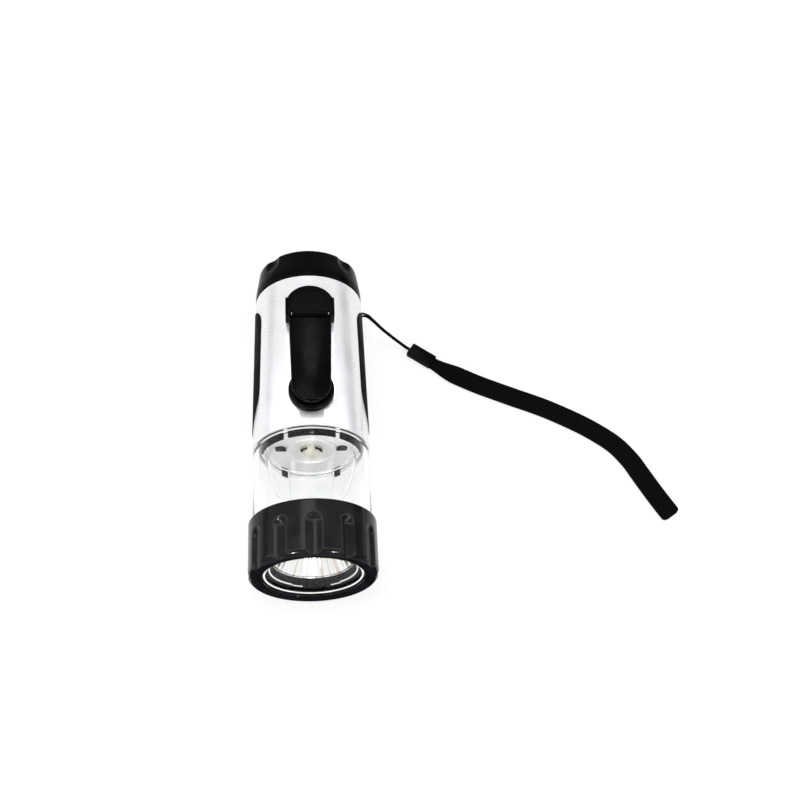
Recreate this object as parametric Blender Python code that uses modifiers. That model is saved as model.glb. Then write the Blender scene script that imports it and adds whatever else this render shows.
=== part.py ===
"""Wind-up torch with a clear lantern section and a wrist strap, lying on its side.

The torch's own axis runs along Y: the lens faces -Y, the tail faces +Y and the crank is on
top. The fluted head is wider than the tail cap, so the axis leans a little to touch the
ground with both. Every length below is a named size in metres.
"""

import math

import bmesh
import bpy
from mathutils import Matrix, Vector

MM = 0.001

# Driving sizes of the torch, stations measured along its axis from mid-length
TORCH_LENGTH = 155.0 * MM
HEAD_RADIUS = 27.5 * MM
HEAD_LENGTH = 25.0 * MM
CAP_LENGTH = 15.5 * MM
LANTERN_LENGTH = 35.3 * MM
SHELL_FRONT_RADIUS = 26.0 * MM
SHELL_DRAFT = 1.0 * MM
SHELL_WALL = 2.0 * MM

# Clearances: between pieces that touch, and how far a cutter passes through
GAP = 0.3 * MM
OVERRUN = 1.0 * MM

FRONT = -TORCH_LENGTH / 2
REAR = TORCH_LENGTH / 2
HEAD_REAR = FRONT + HEAD_LENGTH
SHELL_FRONT = HEAD_REAR + LANTERN_LENGTH
CAP_FRONT = REAR - CAP_LENGTH
SHELL_REAR = CAP_FRONT - GAP
SHELL_REAR_RADIUS = SHELL_FRONT_RADIUS - SHELL_DRAFT
CAP_RADIUS = SHELL_REAR_RADIUS

# Crank, folded forward over its land on top of the barrel
CRANK_SETBACK = 22.7 * MM
LAND_FRONT_MARGIN = 4.9 * MM
LAND_SINK = 0.6 * MM
LAND_MARGIN = 0.9 * MM
LAND_DEPTH = 6.0 * MM
CRANK_LIFT = 0.4 * MM
HUB_RADIUS = 10.9 * MM
HUB_HEIGHT = 7.8 * MM
HUB_EAR = 4.4 * MM
HINGE_SETBACK = 4.8 * MM
HINGE_RISE = 0.2 * MM
KNUCKLE_RADIUS = 1.6 * MM
KNUCKLE_HALF = 8.0 * MM
PIN_RADIUS = 0.7 * MM
ARM_THICKNESS = 3.5 * MM
ARM_REAR_HALF = 9.4 * MM
ARM_END_RADIUS = 8.45 * MM
KNOB_RADIUS = 9.9 * MM
KNOB_HEIGHT = 4.0 * MM
KNOB_ROUNDING = 0.8 * MM
RIVET_RADIUS = 1.5 * MM
RIVET_HEAD_RADIUS = 3.0 * MM
RIVET_HEAD = 1.2 * MM
EDGE_ROUNDING = 0.7 * MM

# Wind-up gears: module, face width and levels above the torch's axis
GEAR_FACE = 3.0 * MM
DRIVE_MARGIN = 5.9 * MM
UPPER_GEAR_LEVEL = 9.0 * MM
LOWER_GEAR_LEVEL = 4.0 * MM
TOOTH_BACKLASH = 0.45 * MM
DRIVE_TEETH = 30
IDLER_TEETH = 26
PINION_TEETH = 10
ADDENDUM_SHARE = 0.65
DEDENDUM_SHARE = 1.0
PRESSURE_ANGLE = math.radians(20)
SHAFT_RADIUS = 2.9 * MM
SHAFT_SQUARE = 4.2 * MM
PIVOT_RADIUS = 1.5 * MM
BUSH_WALL = 1.2 * MM
BUSH_FLANGE = 1.4 * MM
BUSH_FLANGE_THICKNESS = 0.8 * MM
BUSH_DROP = 4.4 * MM
CLIP_RADIUS = 5.0 * MM
CLIP_THICKNESS = 0.8 * MM
AXLE_RADIUS = 1.5 * MM
AXLE_HEAD_RADIUS = 2.8 * MM
AXLE_HEAD = 1.3 * MM
GEAR_HUB_RADIUS = 4.0 * MM
ROTOR_SHAFT_RADIUS = 1.0 * MM
DYNAMO_RADIUS = 12.0 * MM
DYNAMO_HEIGHT = 12.0 * MM
DYNAMO_WALL = 1.0 * MM
DYNAMO_FRONT_GAP = 0.4 * MM
MAGNET_RADIUS = 6.0 * MM
MAGNET_HEIGHT = 5.0 * MM
STATOR_THICKNESS = 3.9 * MM

# Gear plate and the screws that close the two shells through it
PLATE_THICKNESS = 2.0 * MM
PLATE_SIDE_MARGIN = 2.1 * MM
PLATE_FRONT_MARGIN = 1.0 * MM
PLATE_REAR_MARGIN = 9.4 * MM
POST_RADIUS = 2.7 * MM
POST_INSET = 2.5 * MM
POST_FRONT_INSET = 4.4 * MM
POST_REAR_INSET = 4.0 * MM
SCREW_RADIUS = 1.0 * MM
SCREW_HEAD_RADIUS = 1.9 * MM
SCREW_HEAD = 1.3 * MM
SCREW_TOP = 8.6 * MM
SCREW_LEDGE = 9.3 * MM

# Cells under the plate, in ribs of the lower shell
CELL_SIDE_MARGIN = 5.5 * MM
CELL_FRONT_GAP = 1.8 * MM
CELL_REAR_GAP = 0.4 * MM
CELL_LEVEL = -10.0 * MM
CELL_TIP_RADIUS = 1.8 * MM
CELL_TIP = 0.9 * MM
CELL_COUNT = 3
RIB_THICKNESS = 2.0 * MM
RIB_TOP = -9.0 * MM

# Inside of the shells: lantern ledge, tail shoulder and the neck that the cap covers
LEDGE_SETBACK = 4.2 * MM
LEDGE_THICKNESS = 1.6 * MM
LEDGE_DEPTH = 4.0 * MM
SHOULDER_SETBACK = 2.3 * MM
SHOULDER_THICKNESS = 2.6 * MM
SHOULDER_DEPTH = 1.5 * MM
NECK_WALL = 1.6 * MM
NECK_LENGTH = 10.0 * MM
SHELL_EDGE = 0.6 * MM

# Rubber grips let into both sides
GRIP_FRONT_MARGIN = 9.2 * MM
GRIP_REAR_MARGIN = 6.5 * MM
GRIP_HALF_HEIGHT = 12.0 * MM
GRIP_DEPTH = 1.2 * MM
GRIP_PROUD = 0.3 * MM
GRIP_TIP_LENGTH = 11.0 * MM
GRIP_TIP_HALF = 2.2 * MM

# Tail: board, push switch, button and cap
BOARD_THICKNESS = 1.6 * MM
SWITCH_SIZE = 8.4 * MM
SWITCH_DEPTH = 5.0 * MM
STEM_RADIUS = 1.6 * MM
STEM_LENGTH = 4.0 * MM
STEM_INSIDE = 2.0 * MM
BUTTON_RADIUS = 5.8 * MM
BUTTON_RECESS = 0.5 * MM
BUTTON_FLANGE_RADIUS = 8.0 * MM
BUTTON_FLANGE = 1.4 * MM
BUTTON_ROUNDING = 0.8 * MM
CAP_WALL = 2.7 * MM
CAP_END_WALL = 2.2 * MM
CAP_DRAFT = 1.6 * MM
CAP_ROUNDING = 1.1 * MM
CAP_FLUTE_RADIUS = 8.0 * MM
CAP_FLUTE_DEPTH = 1.3 * MM
CAP_FLUTE_START = 4.0 * MM
CAP_FLUTES = 4

# Lantern: clear tube, black collar, white dish, board, lamps, dome and conductors
GLOBE_INSET = 0.4 * MM
GLOBE_WALL = 2.2 * MM
SPIGOT_LENGTH = 4.0 * MM
SPIGOT_WALL = 1.1 * MM
SPIGOT_STEP = 1.7 * MM
FRONT_SPIGOT_WALL = 1.3 * MM
COLLAR_LENGTH = 3.6 * MM
COLLAR_WALL = 0.9 * MM
COLLAR_BASE = 0.8 * MM
COLLAR_SLOT = 3.2 * MM
COLLAR_SLOTS = 6
COLLAR_SLOT_TURN = math.pi / COLLAR_SLOTS
DISH_THICKNESS = 1.4 * MM
DISH_RING_INSET = 4.0 * MM
DISH_RING_WIDTH = 0.8 * MM
DISH_RING_RISE = 0.7 * MM
DOME_MARGIN = 1.4 * MM
DOME_LENGTH = 30.0 * MM
DOME_WALL = 1.2 * MM
LAMP_RADIUS = 4.0 * MM
LAMP_HEIGHT = 4.6 * MM
LAMP_RIM = 0.8 * MM
ROD_RADIUS = 0.6 * MM
ROD_INSET = 1.2 * MM

# Head: housing, reflector, board, lamps, bezel, gasket, lens and fluted ring
HEAD_WALL = 2.3 * MM
HEAD_LENS_WALL = 3.8 * MM
HOUSING_WALL = 2.3 * MM
HOUSING_SOCKET_WALL = 0.7 * MM
HOUSING_FRONT = 7.2 * MM
HOUSING_STEP = 1.6 * MM
HOUSING_LEDGE = 1.8 * MM
BULKHEAD = 1.8 * MM
REFLECTOR_RIM = 4.5 * MM
THROAT_MARGIN = 1.0 * MM
REFLECTOR_WALL = 0.9 * MM
REFLECTOR_DEPTH = 8.6 * MM
TORCH_BOARD_MARGIN = 5.8 * MM
TORCH_LAMP_RADIUS = 2.5 * MM
TORCH_LAMP_HEIGHT = 6.5 * MM
TORCH_LAMP_CIRCLE = 3.9 * MM
TORCH_LAMPS = 3
BEZEL_LAND = 2.2 * MM
BEZEL_WALL = 0.8 * MM
BEZEL_FLANGE = 0.9 * MM
LENS_THICKNESS = 1.6 * MM
GASKET_WIDTH = 1.8 * MM
GASKET_THICKNESS = 0.7 * MM
RIM_THICKNESS = 2.2 * MM
LENS_LIP = 1.8 * MM
RIM_ROUNDING = 3.0 * MM
HEAD_REAR_ROUNDING = 0.8 * MM
HEAD_FLUTES = 12
HEAD_FLUTE_RADIUS = 5.5 * MM
HEAD_FLUTE_DEPTH = 1.3 * MM
HEAD_FLUTE_START = 4.35 * MM

# Lanyard bridge in the lower shell, string, crimp and doubled webbing
BRIDGE_SETBACK = 3.1 * MM
BRIDGE_TOP_HOLE = -1.3 * MM
STRING_DIAMETER = 1.0 * MM
STRING_LOOP_RADIUS = 1.25 * MM
STRING_HOLE_RADIUS = 0.7 * MM
CRIMP_LENGTH = 13.4 * MM
CRIMP_WIDTH = 6.8 * MM
CRIMP_HEIGHT = 3.4 * MM
CRIMP_ROUNDING = 0.45 * MM
WEBBING_WIDTH = 10.0 * MM
WEBBING_NECK = 6.2 * MM
WEBBING_FLARE = 15.0 * MM
WEBBING_HEIGHT = 2.2 * MM
WEBBING_ROUNDING = 2.0 * MM
FLOOR_CLEARANCE = 0.1 * MM

# Numbers of sides on round pieces, large to small
FINE = 40
MEDIUM = 24
COARSE = 12
ARC_STEPS = 6

# The lean that sets both the head and the cap on the ground
HEAD_CONTACT = HEAD_REAR - HEAD_REAR_ROUNDING
CAP_CONTACT = CAP_FRONT + CAP_FLUTE_START
LEAN = math.atan2(HEAD_RADIUS - CAP_RADIUS, CAP_CONTACT - HEAD_CONTACT)
AXIS_HEIGHT = HEAD_RADIUS * math.cos(LEAN) + HEAD_CONTACT * math.sin(LEAN)

# Radii, levels and stations that follow from the sizes above
LAND_TOP = SHELL_FRONT_RADIUS - LAND_SINK
LAND_HALF = KNOB_RADIUS + LAND_MARGIN
CRANK_AXIS = SHELL_REAR - CRANK_SETBACK
KNOB_STATION = SHELL_FRONT + LAND_FRONT_MARGIN + LAND_HALF
LEDGE_STATION = SHELL_FRONT + LEDGE_SETBACK
LEDGE_REAR = LEDGE_STATION + LEDGE_THICKNESS
LEDGE_RADIUS = SHELL_FRONT_RADIUS - SHELL_WALL - LEDGE_DEPTH
SHOULDER_FRONT = SHELL_REAR - SHOULDER_SETBACK
NECK_RADIUS = CAP_RADIUS - CAP_WALL - GAP
SHOULDER_RADIUS = NECK_RADIUS - NECK_WALL - SHOULDER_DEPTH
CAP_REAR_RADIUS = CAP_RADIUS - CAP_DRAFT
GRIP_FRONT = SHELL_FRONT + GRIP_FRONT_MARGIN
GRIP_REAR = SHELL_REAR - GRIP_REAR_MARGIN
BRIDGE_STATION = SHELL_REAR - BRIDGE_SETBACK
PLATE_HALF_WIDTH = SHELL_REAR_RADIUS - SHELL_WALL - PLATE_SIDE_MARGIN
PLATE_FRONT = LEDGE_REAR + PLATE_FRONT_MARGIN
PLATE_REAR = SHOULDER_FRONT - PLATE_REAR_MARGIN
POST_SPREAD = PLATE_HALF_WIDTH - POST_INSET
POST_FRONT = PLATE_FRONT + POST_FRONT_INSET
POST_REAR = PLATE_REAR - POST_REAR_INSET
TRAIN_SPACE = CRANK_AXIS - LEDGE_REAR - DYNAMO_FRONT_GAP - DYNAMO_RADIUS
TRAIN_TEETH = DRIVE_TEETH + PINION_TEETH + IDLER_TEETH + PINION_TEETH
GEAR_MODULE = 2 * min(
    (PLATE_HALF_WIDTH - DRIVE_MARGIN) / DRIVE_TEETH, TRAIN_SPACE / TRAIN_TEETH
)
CRANK_BOTTOM = LAND_TOP + CRANK_LIFT
CRANK_TOP = CRANK_BOTTOM + HUB_HEIGHT
ARM_BOTTOM = CRANK_TOP - ARM_THICKNESS
HINGE_STATION = CRANK_AXIS - HINGE_SETBACK
HINGE_LEVEL = CRANK_TOP + HINGE_RISE
DRIVE_PITCH = GEAR_MODULE * DRIVE_TEETH / 2
IDLER_PITCH = GEAR_MODULE * IDLER_TEETH / 2
PINION_PITCH = GEAR_MODULE * PINION_TEETH / 2
IDLER_AXIS = CRANK_AXIS - DRIVE_PITCH - PINION_PITCH
ROTOR_AXIS = IDLER_AXIS - IDLER_PITCH - PINION_PITCH
PLATE_BOTTOM = -GAP
PLATE_TOP = PLATE_BOTTOM + PLATE_THICKNESS
CELL_SPAN = 2 * (PLATE_HALF_WIDTH - CELL_SIDE_MARGIN)
CELL_RADIUS = (CELL_SPAN - (CELL_COUNT - 1) * GAP / 2) / (2 * CELL_COUNT)
CELL_SPACING = 2 * CELL_RADIUS + GAP / 2
CELL_FRONT = ROTOR_AXIS + DYNAMO_RADIUS + CELL_FRONT_GAP
CELL_LENGTH = SHOULDER_FRONT - CELL_REAR_GAP - CELL_FRONT
NECK_END = SHELL_REAR + NECK_LENGTH
SHOULDER_REAR = SHOULDER_FRONT + SHOULDER_THICKNESS
GLOBE_RADIUS = SHELL_FRONT_RADIUS - GLOBE_INSET
GLOBE_REAR = SHELL_FRONT - GAP
GLOBE_FRONT = HEAD_REAR + GAP
HOUSING_RADIUS = HEAD_RADIUS - HEAD_WALL - GAP
HOUSING_BORE = HOUSING_RADIUS - HOUSING_WALL
HOUSING_INNER = HOUSING_BORE - HOUSING_LEDGE
FRONT_SPIGOT = min(GLOBE_RADIUS - SPIGOT_STEP, HOUSING_RADIUS - HOUSING_SOCKET_WALL - GAP)
FRONT_BORE = FRONT_SPIGOT - FRONT_SPIGOT_WALL
ROD_CIRCLE = FRONT_BORE - ROD_INSET
DOME_RADIUS = ROD_CIRCLE - DOME_MARGIN
DISH_RING_RADIUS = DOME_RADIUS - DISH_RING_INSET
REFLECTOR_MOUTH = HOUSING_INNER - REFLECTOR_RIM
REFLECTOR_THROAT = TORCH_LAMP_CIRCLE + TORCH_LAMP_RADIUS + THROAT_MARGIN
TORCH_BOARD_RADIUS = HOUSING_INNER - TORCH_BOARD_MARGIN
LENS_RADIUS = HEAD_RADIUS - HEAD_LENS_WALL - GAP
RIM_OPENING = LENS_RADIUS - LENS_LIP
BEZEL_MOUTH = LENS_RADIUS - BEZEL_LAND
SPIGOT_RADIUS = SHELL_FRONT_RADIUS - SHELL_WALL - GAP
SPIGOT_BORE = SPIGOT_RADIUS - SPIGOT_WALL
DISH_RADIUS = SPIGOT_BORE - GAP
LANTERN_BOARD_REAR = LEDGE_STATION - GAP
LANTERN_BOARD_FRONT = LANTERN_BOARD_REAR - BOARD_THICKNESS
DISH_REAR = LANTERN_BOARD_FRONT - GAP
DISH_FRONT = DISH_REAR - DISH_THICKNESS
HOUSING_REAR = HEAD_REAR - GAP
FRONT_SPIGOT_END = GLOBE_FRONT - SPIGOT_LENGTH
BULKHEAD_REAR = FRONT_SPIGOT_END - GAP
BULKHEAD_FRONT = BULKHEAD_REAR - BULKHEAD
HOUSING_FACE = FRONT + HOUSING_FRONT
LENS_FRONT = FRONT + RIM_THICKNESS + GAP
LENS_REAR = LENS_FRONT + LENS_THICKNESS
GASKET_FRONT = LENS_REAR + GAP
GASKET_REAR = GASKET_FRONT + GASKET_THICKNESS
BEZEL_FRONT = GASKET_REAR + GAP
BEZEL_SEAT = HOUSING_FACE - GAP
REFLECTOR_SEAT = HOUSING_FACE + HOUSING_STEP
CAP_TAPER = math.atan2(CAP_RADIUS - CAP_REAR_RADIUS, CAP_LENGTH - CAP_FLUTE_START)
TORCH_BOARD_FRONT = BULKHEAD_FRONT - GAP - BOARD_THICKNESS

parts = bpy.data.collections.new("crank_torch")
cutters = bpy.data.collections.new("cutters")


def clear_scene():
    """Remove whatever the scene holds before the torch is built."""
    for old in list(bpy.data.objects):
        bpy.data.objects.remove(old)
    bpy.context.scene.collection.children.link(parts)
    bpy.context.scene.collection.children.link(cutters)
    cutters.hide_render = True


def finish(name, color, roughness, metallic=0.0, alpha=1.0):
    """A Principled material of one colour."""
    material = bpy.data.materials.new(name)
    material.use_nodes = True
    shader = material.node_tree.nodes["Principled BSDF"]
    shader.inputs["Base Color"].default_value = (*color, 1.0)
    shader.inputs["Roughness"].default_value = roughness
    shader.inputs["Metallic"].default_value = metallic
    shader.inputs["Alpha"].default_value = alpha
    return material


clear_scene()
SILVER = finish("satin_silver", (0.78, 0.78, 0.80), 0.32, 0.7)
BLACK = finish("black_plastic", (0.012, 0.012, 0.014), 0.38)
RUBBER = finish("black_rubber", (0.015, 0.015, 0.016), 0.75)
CLEAR = finish("clear_plastic", (0.95, 0.96, 0.97), 0.06, 0.0, 0.3)
CHROME = finish("reflector_chrome", (0.92, 0.92, 0.92), 0.08, 1.0)
WHITE = finish("white_plastic", (0.85, 0.85, 0.84), 0.4)
STEEL = finish("steel", (0.62, 0.62, 0.63), 0.3, 1.0)
BRASS = finish("brass", (0.75, 0.55, 0.25), 0.3, 1.0)
ACETAL = finish("gear_acetal", (0.88, 0.87, 0.82), 0.45)
GREEN = finish("circuit_board", (0.03, 0.22, 0.08), 0.4)
COPPER = finish("copper_winding", (0.72, 0.32, 0.15), 0.4, 1.0)
CELL = finish("cell_sleeve", (0.10, 0.28, 0.45), 0.35)
AMBER = finish("lamp_resin", (0.95, 0.90, 0.70), 0.15)
WEBBING = finish("black_webbing", (0.02, 0.02, 0.022), 0.85)

axis_frame = bpy.data.objects.new("torch_axis", None)
axis_frame.location = (0, 0, AXIS_HEIGHT)
axis_frame.rotation_euler = (-LEAN, 0, 0)
parts.objects.link(axis_frame)


def add(name, data, material=None, on=axis_frame, at=(0, 0, 0), turn=(0, 0, 0)):
    """Link a new object, as a part when it has a material and else as a cutter."""
    piece = bpy.data.objects.new(name, data)
    piece.parent = on
    piece.location = at
    piece.rotation_euler = turn
    if material:
        parts.objects.link(piece)
        data.materials.append(material)
    else:
        cutters.objects.link(piece)
        piece.hide_render = True
        piece.display_type = "WIRE"
    return piece


def modify(piece, tool, cut_with):
    """Add an exact Boolean of the given kind."""
    change = piece.modifiers.new(tool.lower(), "BOOLEAN")
    change.operation = tool
    change.solver = "EXACT"
    change.object = cut_with


def cut(piece, *with_these):
    """Cut the given shapes out of a piece."""
    for tool in with_these:
        modify(piece, "DIFFERENCE", tool)


def join(piece, *with_these):
    """Fuse the given shapes to a piece."""
    for tool in with_these:
        modify(piece, "UNION", tool)


ALONG = (-math.pi / 2, 0, 0)


def turned(name, profile, material=None, sides=FINE, at=(0, 0, 0), turn=ALONG):
    """Turn a profile of (radius, station) points.

    A profile that starts and ends on the axis gives a solid, and any other is closed to a
    ring. By default its axis is the torch's.
    """
    ring = profile[0][0] > 0
    points = list(profile)
    area = sum(
        a[0] * b[1] - b[0] * a[1] for a, b in zip(points, points[1:] + points[:1])
    )
    if area > 0:
        points.reverse()
    mesh = bpy.data.meshes.new(name)
    count = len(points)
    edges = [(i, i + 1) for i in range(count - 1)]
    if ring:
        edges.append((count - 1, 0))
    mesh.from_pydata([(radius, 0, station) for radius, station in points], edges, [])
    piece = add(name, mesh, material, at=at, turn=turn)
    screw = piece.modifiers.new("turn", "SCREW")
    screw.axis = "Z"
    screw.angle = 2 * math.pi
    screw.steps = screw.render_steps = sides
    screw.use_merge_vertices = True
    screw.merge_threshold = 0.05 * MM
    screw.use_smooth_shade = True
    return piece


UP = (0, 0, 0)


def block(name, size, at, material=None):
    """A box of the given size about a point."""
    mesh = bpy.data.meshes.new(name)
    shape = bmesh.new()
    bmesh.ops.create_cube(shape, size=1.0, matrix=Matrix.Diagonal((*size, 1.0)))
    shape.to_mesh(mesh)
    shape.free()
    return add(name, mesh, material, at=at)


def rod(name, radius, start, end, material=None, sides=COARSE):
    """A cylinder between two points."""
    start, end = Vector(start), Vector(end)
    mesh = bpy.data.meshes.new(name)
    shape = bmesh.new()
    way = end - start
    spin = Vector((0, 0, 1)).rotation_difference(way).to_matrix().to_4x4()
    bmesh.ops.create_cone(
        shape,
        cap_ends=True,
        segments=sides,
        radius1=radius,
        radius2=radius,
        depth=way.length,
        matrix=Matrix.Translation((start + end) / 2) @ spin,
    )
    shape.to_mesh(mesh)
    shape.free()
    return add(name, mesh, material)


def outline(name, points, bottom, top, material=None, on=axis_frame, turn=UP):
    """A flat outline between two levels, made a welded mesh."""
    curve = bpy.data.curves.new(name, "CURVE")
    curve.dimensions = "2D"
    curve.fill_mode = "BOTH"
    curve.extrude = (top - bottom) / 2
    spline = curve.splines.new("POLY")
    spline.points.add(len(points) - 1)
    for point, (x, y) in zip(spline.points, points):
        point.co = (x, y, 0, 1)
    spline.use_cyclic_u = True
    drawn = bpy.data.objects.new(name + "_outline", curve)
    parts.objects.link(drawn)
    bpy.context.view_layer.update()
    graph = bpy.context.evaluated_depsgraph_get()
    mesh = bpy.data.meshes.new_from_object(drawn.evaluated_get(graph))
    bpy.data.objects.remove(drawn)
    shape = bmesh.new()
    shape.from_mesh(mesh)
    bmesh.ops.remove_doubles(shape, verts=shape.verts, dist=0.01 * MM)
    bmesh.ops.recalc_face_normals(shape, faces=shape.faces)
    shape.to_mesh(mesh)
    shape.free()
    mesh.transform(Matrix.Translation((0, 0, (top + bottom) / 2)))
    mesh.materials.clear()
    return add(name, mesh, material, on=on, turn=turn)


def arc(x, y, radius, start, end, steps=ARC_STEPS):
    """Points of an arc, angles in degrees from +X."""
    angles = [math.radians(start + (end - start) * i / steps) for i in range(steps + 1)]
    return [(x + radius * math.cos(a), y + radius * math.sin(a)) for a in angles]


def soften(piece, width, segments=2):
    """Round the sharp edges of a piece."""
    bevel = piece.modifiers.new("round", "BEVEL")
    bevel.width = width
    bevel.segments = segments
    bevel.limit_method = "ANGLE"
    bevel.angle_limit = math.radians(50)


def capsule(name, radius, start, end, sides=COARSE):
    """A round-ended cutter along the torch's axis, at its own origin."""
    steps = ARC_STEPS // 2
    rear = [
        (radius * math.sin(a), end - radius + radius * math.cos(a))
        for a in [math.pi / 2 * i / steps for i in range(steps + 1)]
    ]
    front = [(r, start + end - station) for r, station in reversed(rear)]
    profile = [(0.0, end)] + rear[1:] + front[:-1] + [(0.0, start)]
    return turned(name, profile, sides=sides)


def flute_cutters(name, count, first, radius, depth, surface, start, end, lean=0.0):
    """Capsules spaced round the axis that groove a round or tapering piece to one depth.

    The surface is the piece's radius where the groove starts, and the lean its taper.
    """
    reach = surface - depth + radius + start * math.sin(lean)
    tools = []
    for i in range(count):
        tool = capsule(f"{name}_{i}", radius, start, end)
        turn = first + 2 * math.pi * i / count
        tool.location = (reach * math.sin(turn), 0, reach * math.cos(turn))
        tool.rotation_euler = (ALONG[0] - lean, turn, 0)
        tools.append(tool)
    return tools


def shell_radius(station):
    """Outer radius of the tapering barrel at a station."""
    share = (station - SHELL_FRONT) / (SHELL_REAR - SHELL_FRONT)
    return SHELL_FRONT_RADIUS + (SHELL_REAR_RADIUS - SHELL_FRONT_RADIUS) * share


def pill(half, front, rear):
    """A round-ended outline along the torch's axis."""
    return arc(0, front, half, 180, 360, 2 * ARC_STEPS) + arc(
        0, rear, half, 0, 180, 2 * ARC_STEPS
    )


def grip_points(grow):
    """The side view of a grip as (station, height) points: round rear end, drawn-out front tip."""
    half = GRIP_HALF_HEIGHT + grow
    tip = GRIP_TIP_HALF + grow
    rear = GRIP_REAR + grow - half
    front = GRIP_FRONT - grow
    shoulder = GRIP_FRONT + GRIP_TIP_LENGTH
    points = arc(rear, 0, half, 90, -90, 2 * ARC_STEPS)
    points += [(shoulder, -half), ((shoulder + front) / 2, -(half + tip) / 2)]
    points += [(front, -tip), (front, tip)]
    points += [((shoulder + front) / 2, (half + tip) / 2), (shoulder, half)]
    return points


def grip_band(inner, outer):
    """A tapering ring between two depths of the barrel's surface."""
    front, rear = GRIP_FRONT - 2 * OVERRUN, GRIP_REAR + 2 * OVERRUN
    profile = [
        (shell_radius(front) + outer, front),
        (shell_radius(rear) + outer, rear),
        (shell_radius(rear) + inner, rear),
        (shell_radius(front) + inner, front),
    ]
    return profile


def side_prism(name, points, side):
    """An outline seen from the side, standing out from the torch's middle along X."""
    reach = SHELL_FRONT_RADIUS + 2 * OVERRUN
    turned_points = [(height, station) for station, height in points]
    prism = outline(name, turned_points, SHELL_WALL, reach)
    prism.rotation_euler = (0, side * math.pi / 2, 0)
    return prism


def build_grips():
    """Both rubber grips, and the cutters that sink them in the shells."""
    sinks = []
    for side, word in ((-1, "left"), (1, "right")):
        grip = turned(
            f"grip_{word}", grip_band(-GRIP_DEPTH + GAP, GRIP_PROUD), RUBBER
        )
        modify(grip, "INTERSECT", side_prism(f"grip_{word}_shape", grip_points(0), side))
        sink = turned(f"grip_{word}_sink", grip_band(-GRIP_DEPTH, 2 * OVERRUN))
        modify(
            sink, "INTERSECT", side_prism(f"grip_{word}_bed", grip_points(GAP), side)
        )
        sinks.append(sink)
    return sinks


def post_places():
    """Left and right, front and rear places of the closing screws."""
    return [
        (side * POST_SPREAD, station)
        for side in (-1, 1)
        for station in (POST_FRONT, POST_REAR)
    ]


def cell_places():
    """X positions of the cells, side by side."""
    middle = (CELL_COUNT - 1) / 2
    return [CELL_SPACING * (i - middle) for i in range(CELL_COUNT)]


def cavity(name):
    """The hollow of the shells: ledge for the lantern, shoulder for the tail board, neck."""
    profile = [
        (0, SHELL_FRONT - OVERRUN),
        (shell_radius(SHELL_FRONT) - SHELL_WALL, SHELL_FRONT - OVERRUN),
        (shell_radius(SHELL_FRONT) - SHELL_WALL, LEDGE_STATION),
        (LEDGE_RADIUS, LEDGE_STATION),
        (LEDGE_RADIUS, LEDGE_REAR),
        (shell_radius(LEDGE_REAR) - SHELL_WALL, LEDGE_REAR),
        (shell_radius(SHOULDER_FRONT) - SHELL_WALL, SHOULDER_FRONT),
        (SHOULDER_RADIUS, SHOULDER_FRONT),
        (SHOULDER_RADIUS, SHOULDER_REAR),
        (NECK_RADIUS - NECK_WALL, SHOULDER_REAR),
        (NECK_RADIUS - NECK_WALL, NECK_END + OVERRUN),
        (0, NECK_END + OVERRUN),
    ]
    return turned(name, profile)


def barrel_solid(name, material):
    """The outside of the barrel with its neck, before it is hollowed and halved."""
    profile = [
        (0, SHELL_FRONT),
        (SHELL_FRONT_RADIUS - SHELL_EDGE, SHELL_FRONT),
        (SHELL_FRONT_RADIUS, SHELL_FRONT + SHELL_EDGE),
        (SHELL_REAR_RADIUS, SHELL_REAR),
        (NECK_RADIUS, SHELL_REAR),
        (NECK_RADIUS, NECK_END),
        (0, NECK_END),
    ]
    return turned(name, profile, material)


def half_space(name, side):
    """A box that removes one half of the barrel, with half the joint's gap."""
    depth = SHELL_FRONT_RADIUS + 2 * OVERRUN
    length = NECK_END - SHELL_FRONT + 4 * OVERRUN
    middle = (NECK_END + SHELL_FRONT) / 2
    return block(
        name,
        (2 * depth, length, depth),
        (0, middle, side * (depth / 2 - GAP / 2)),
    )


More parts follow.
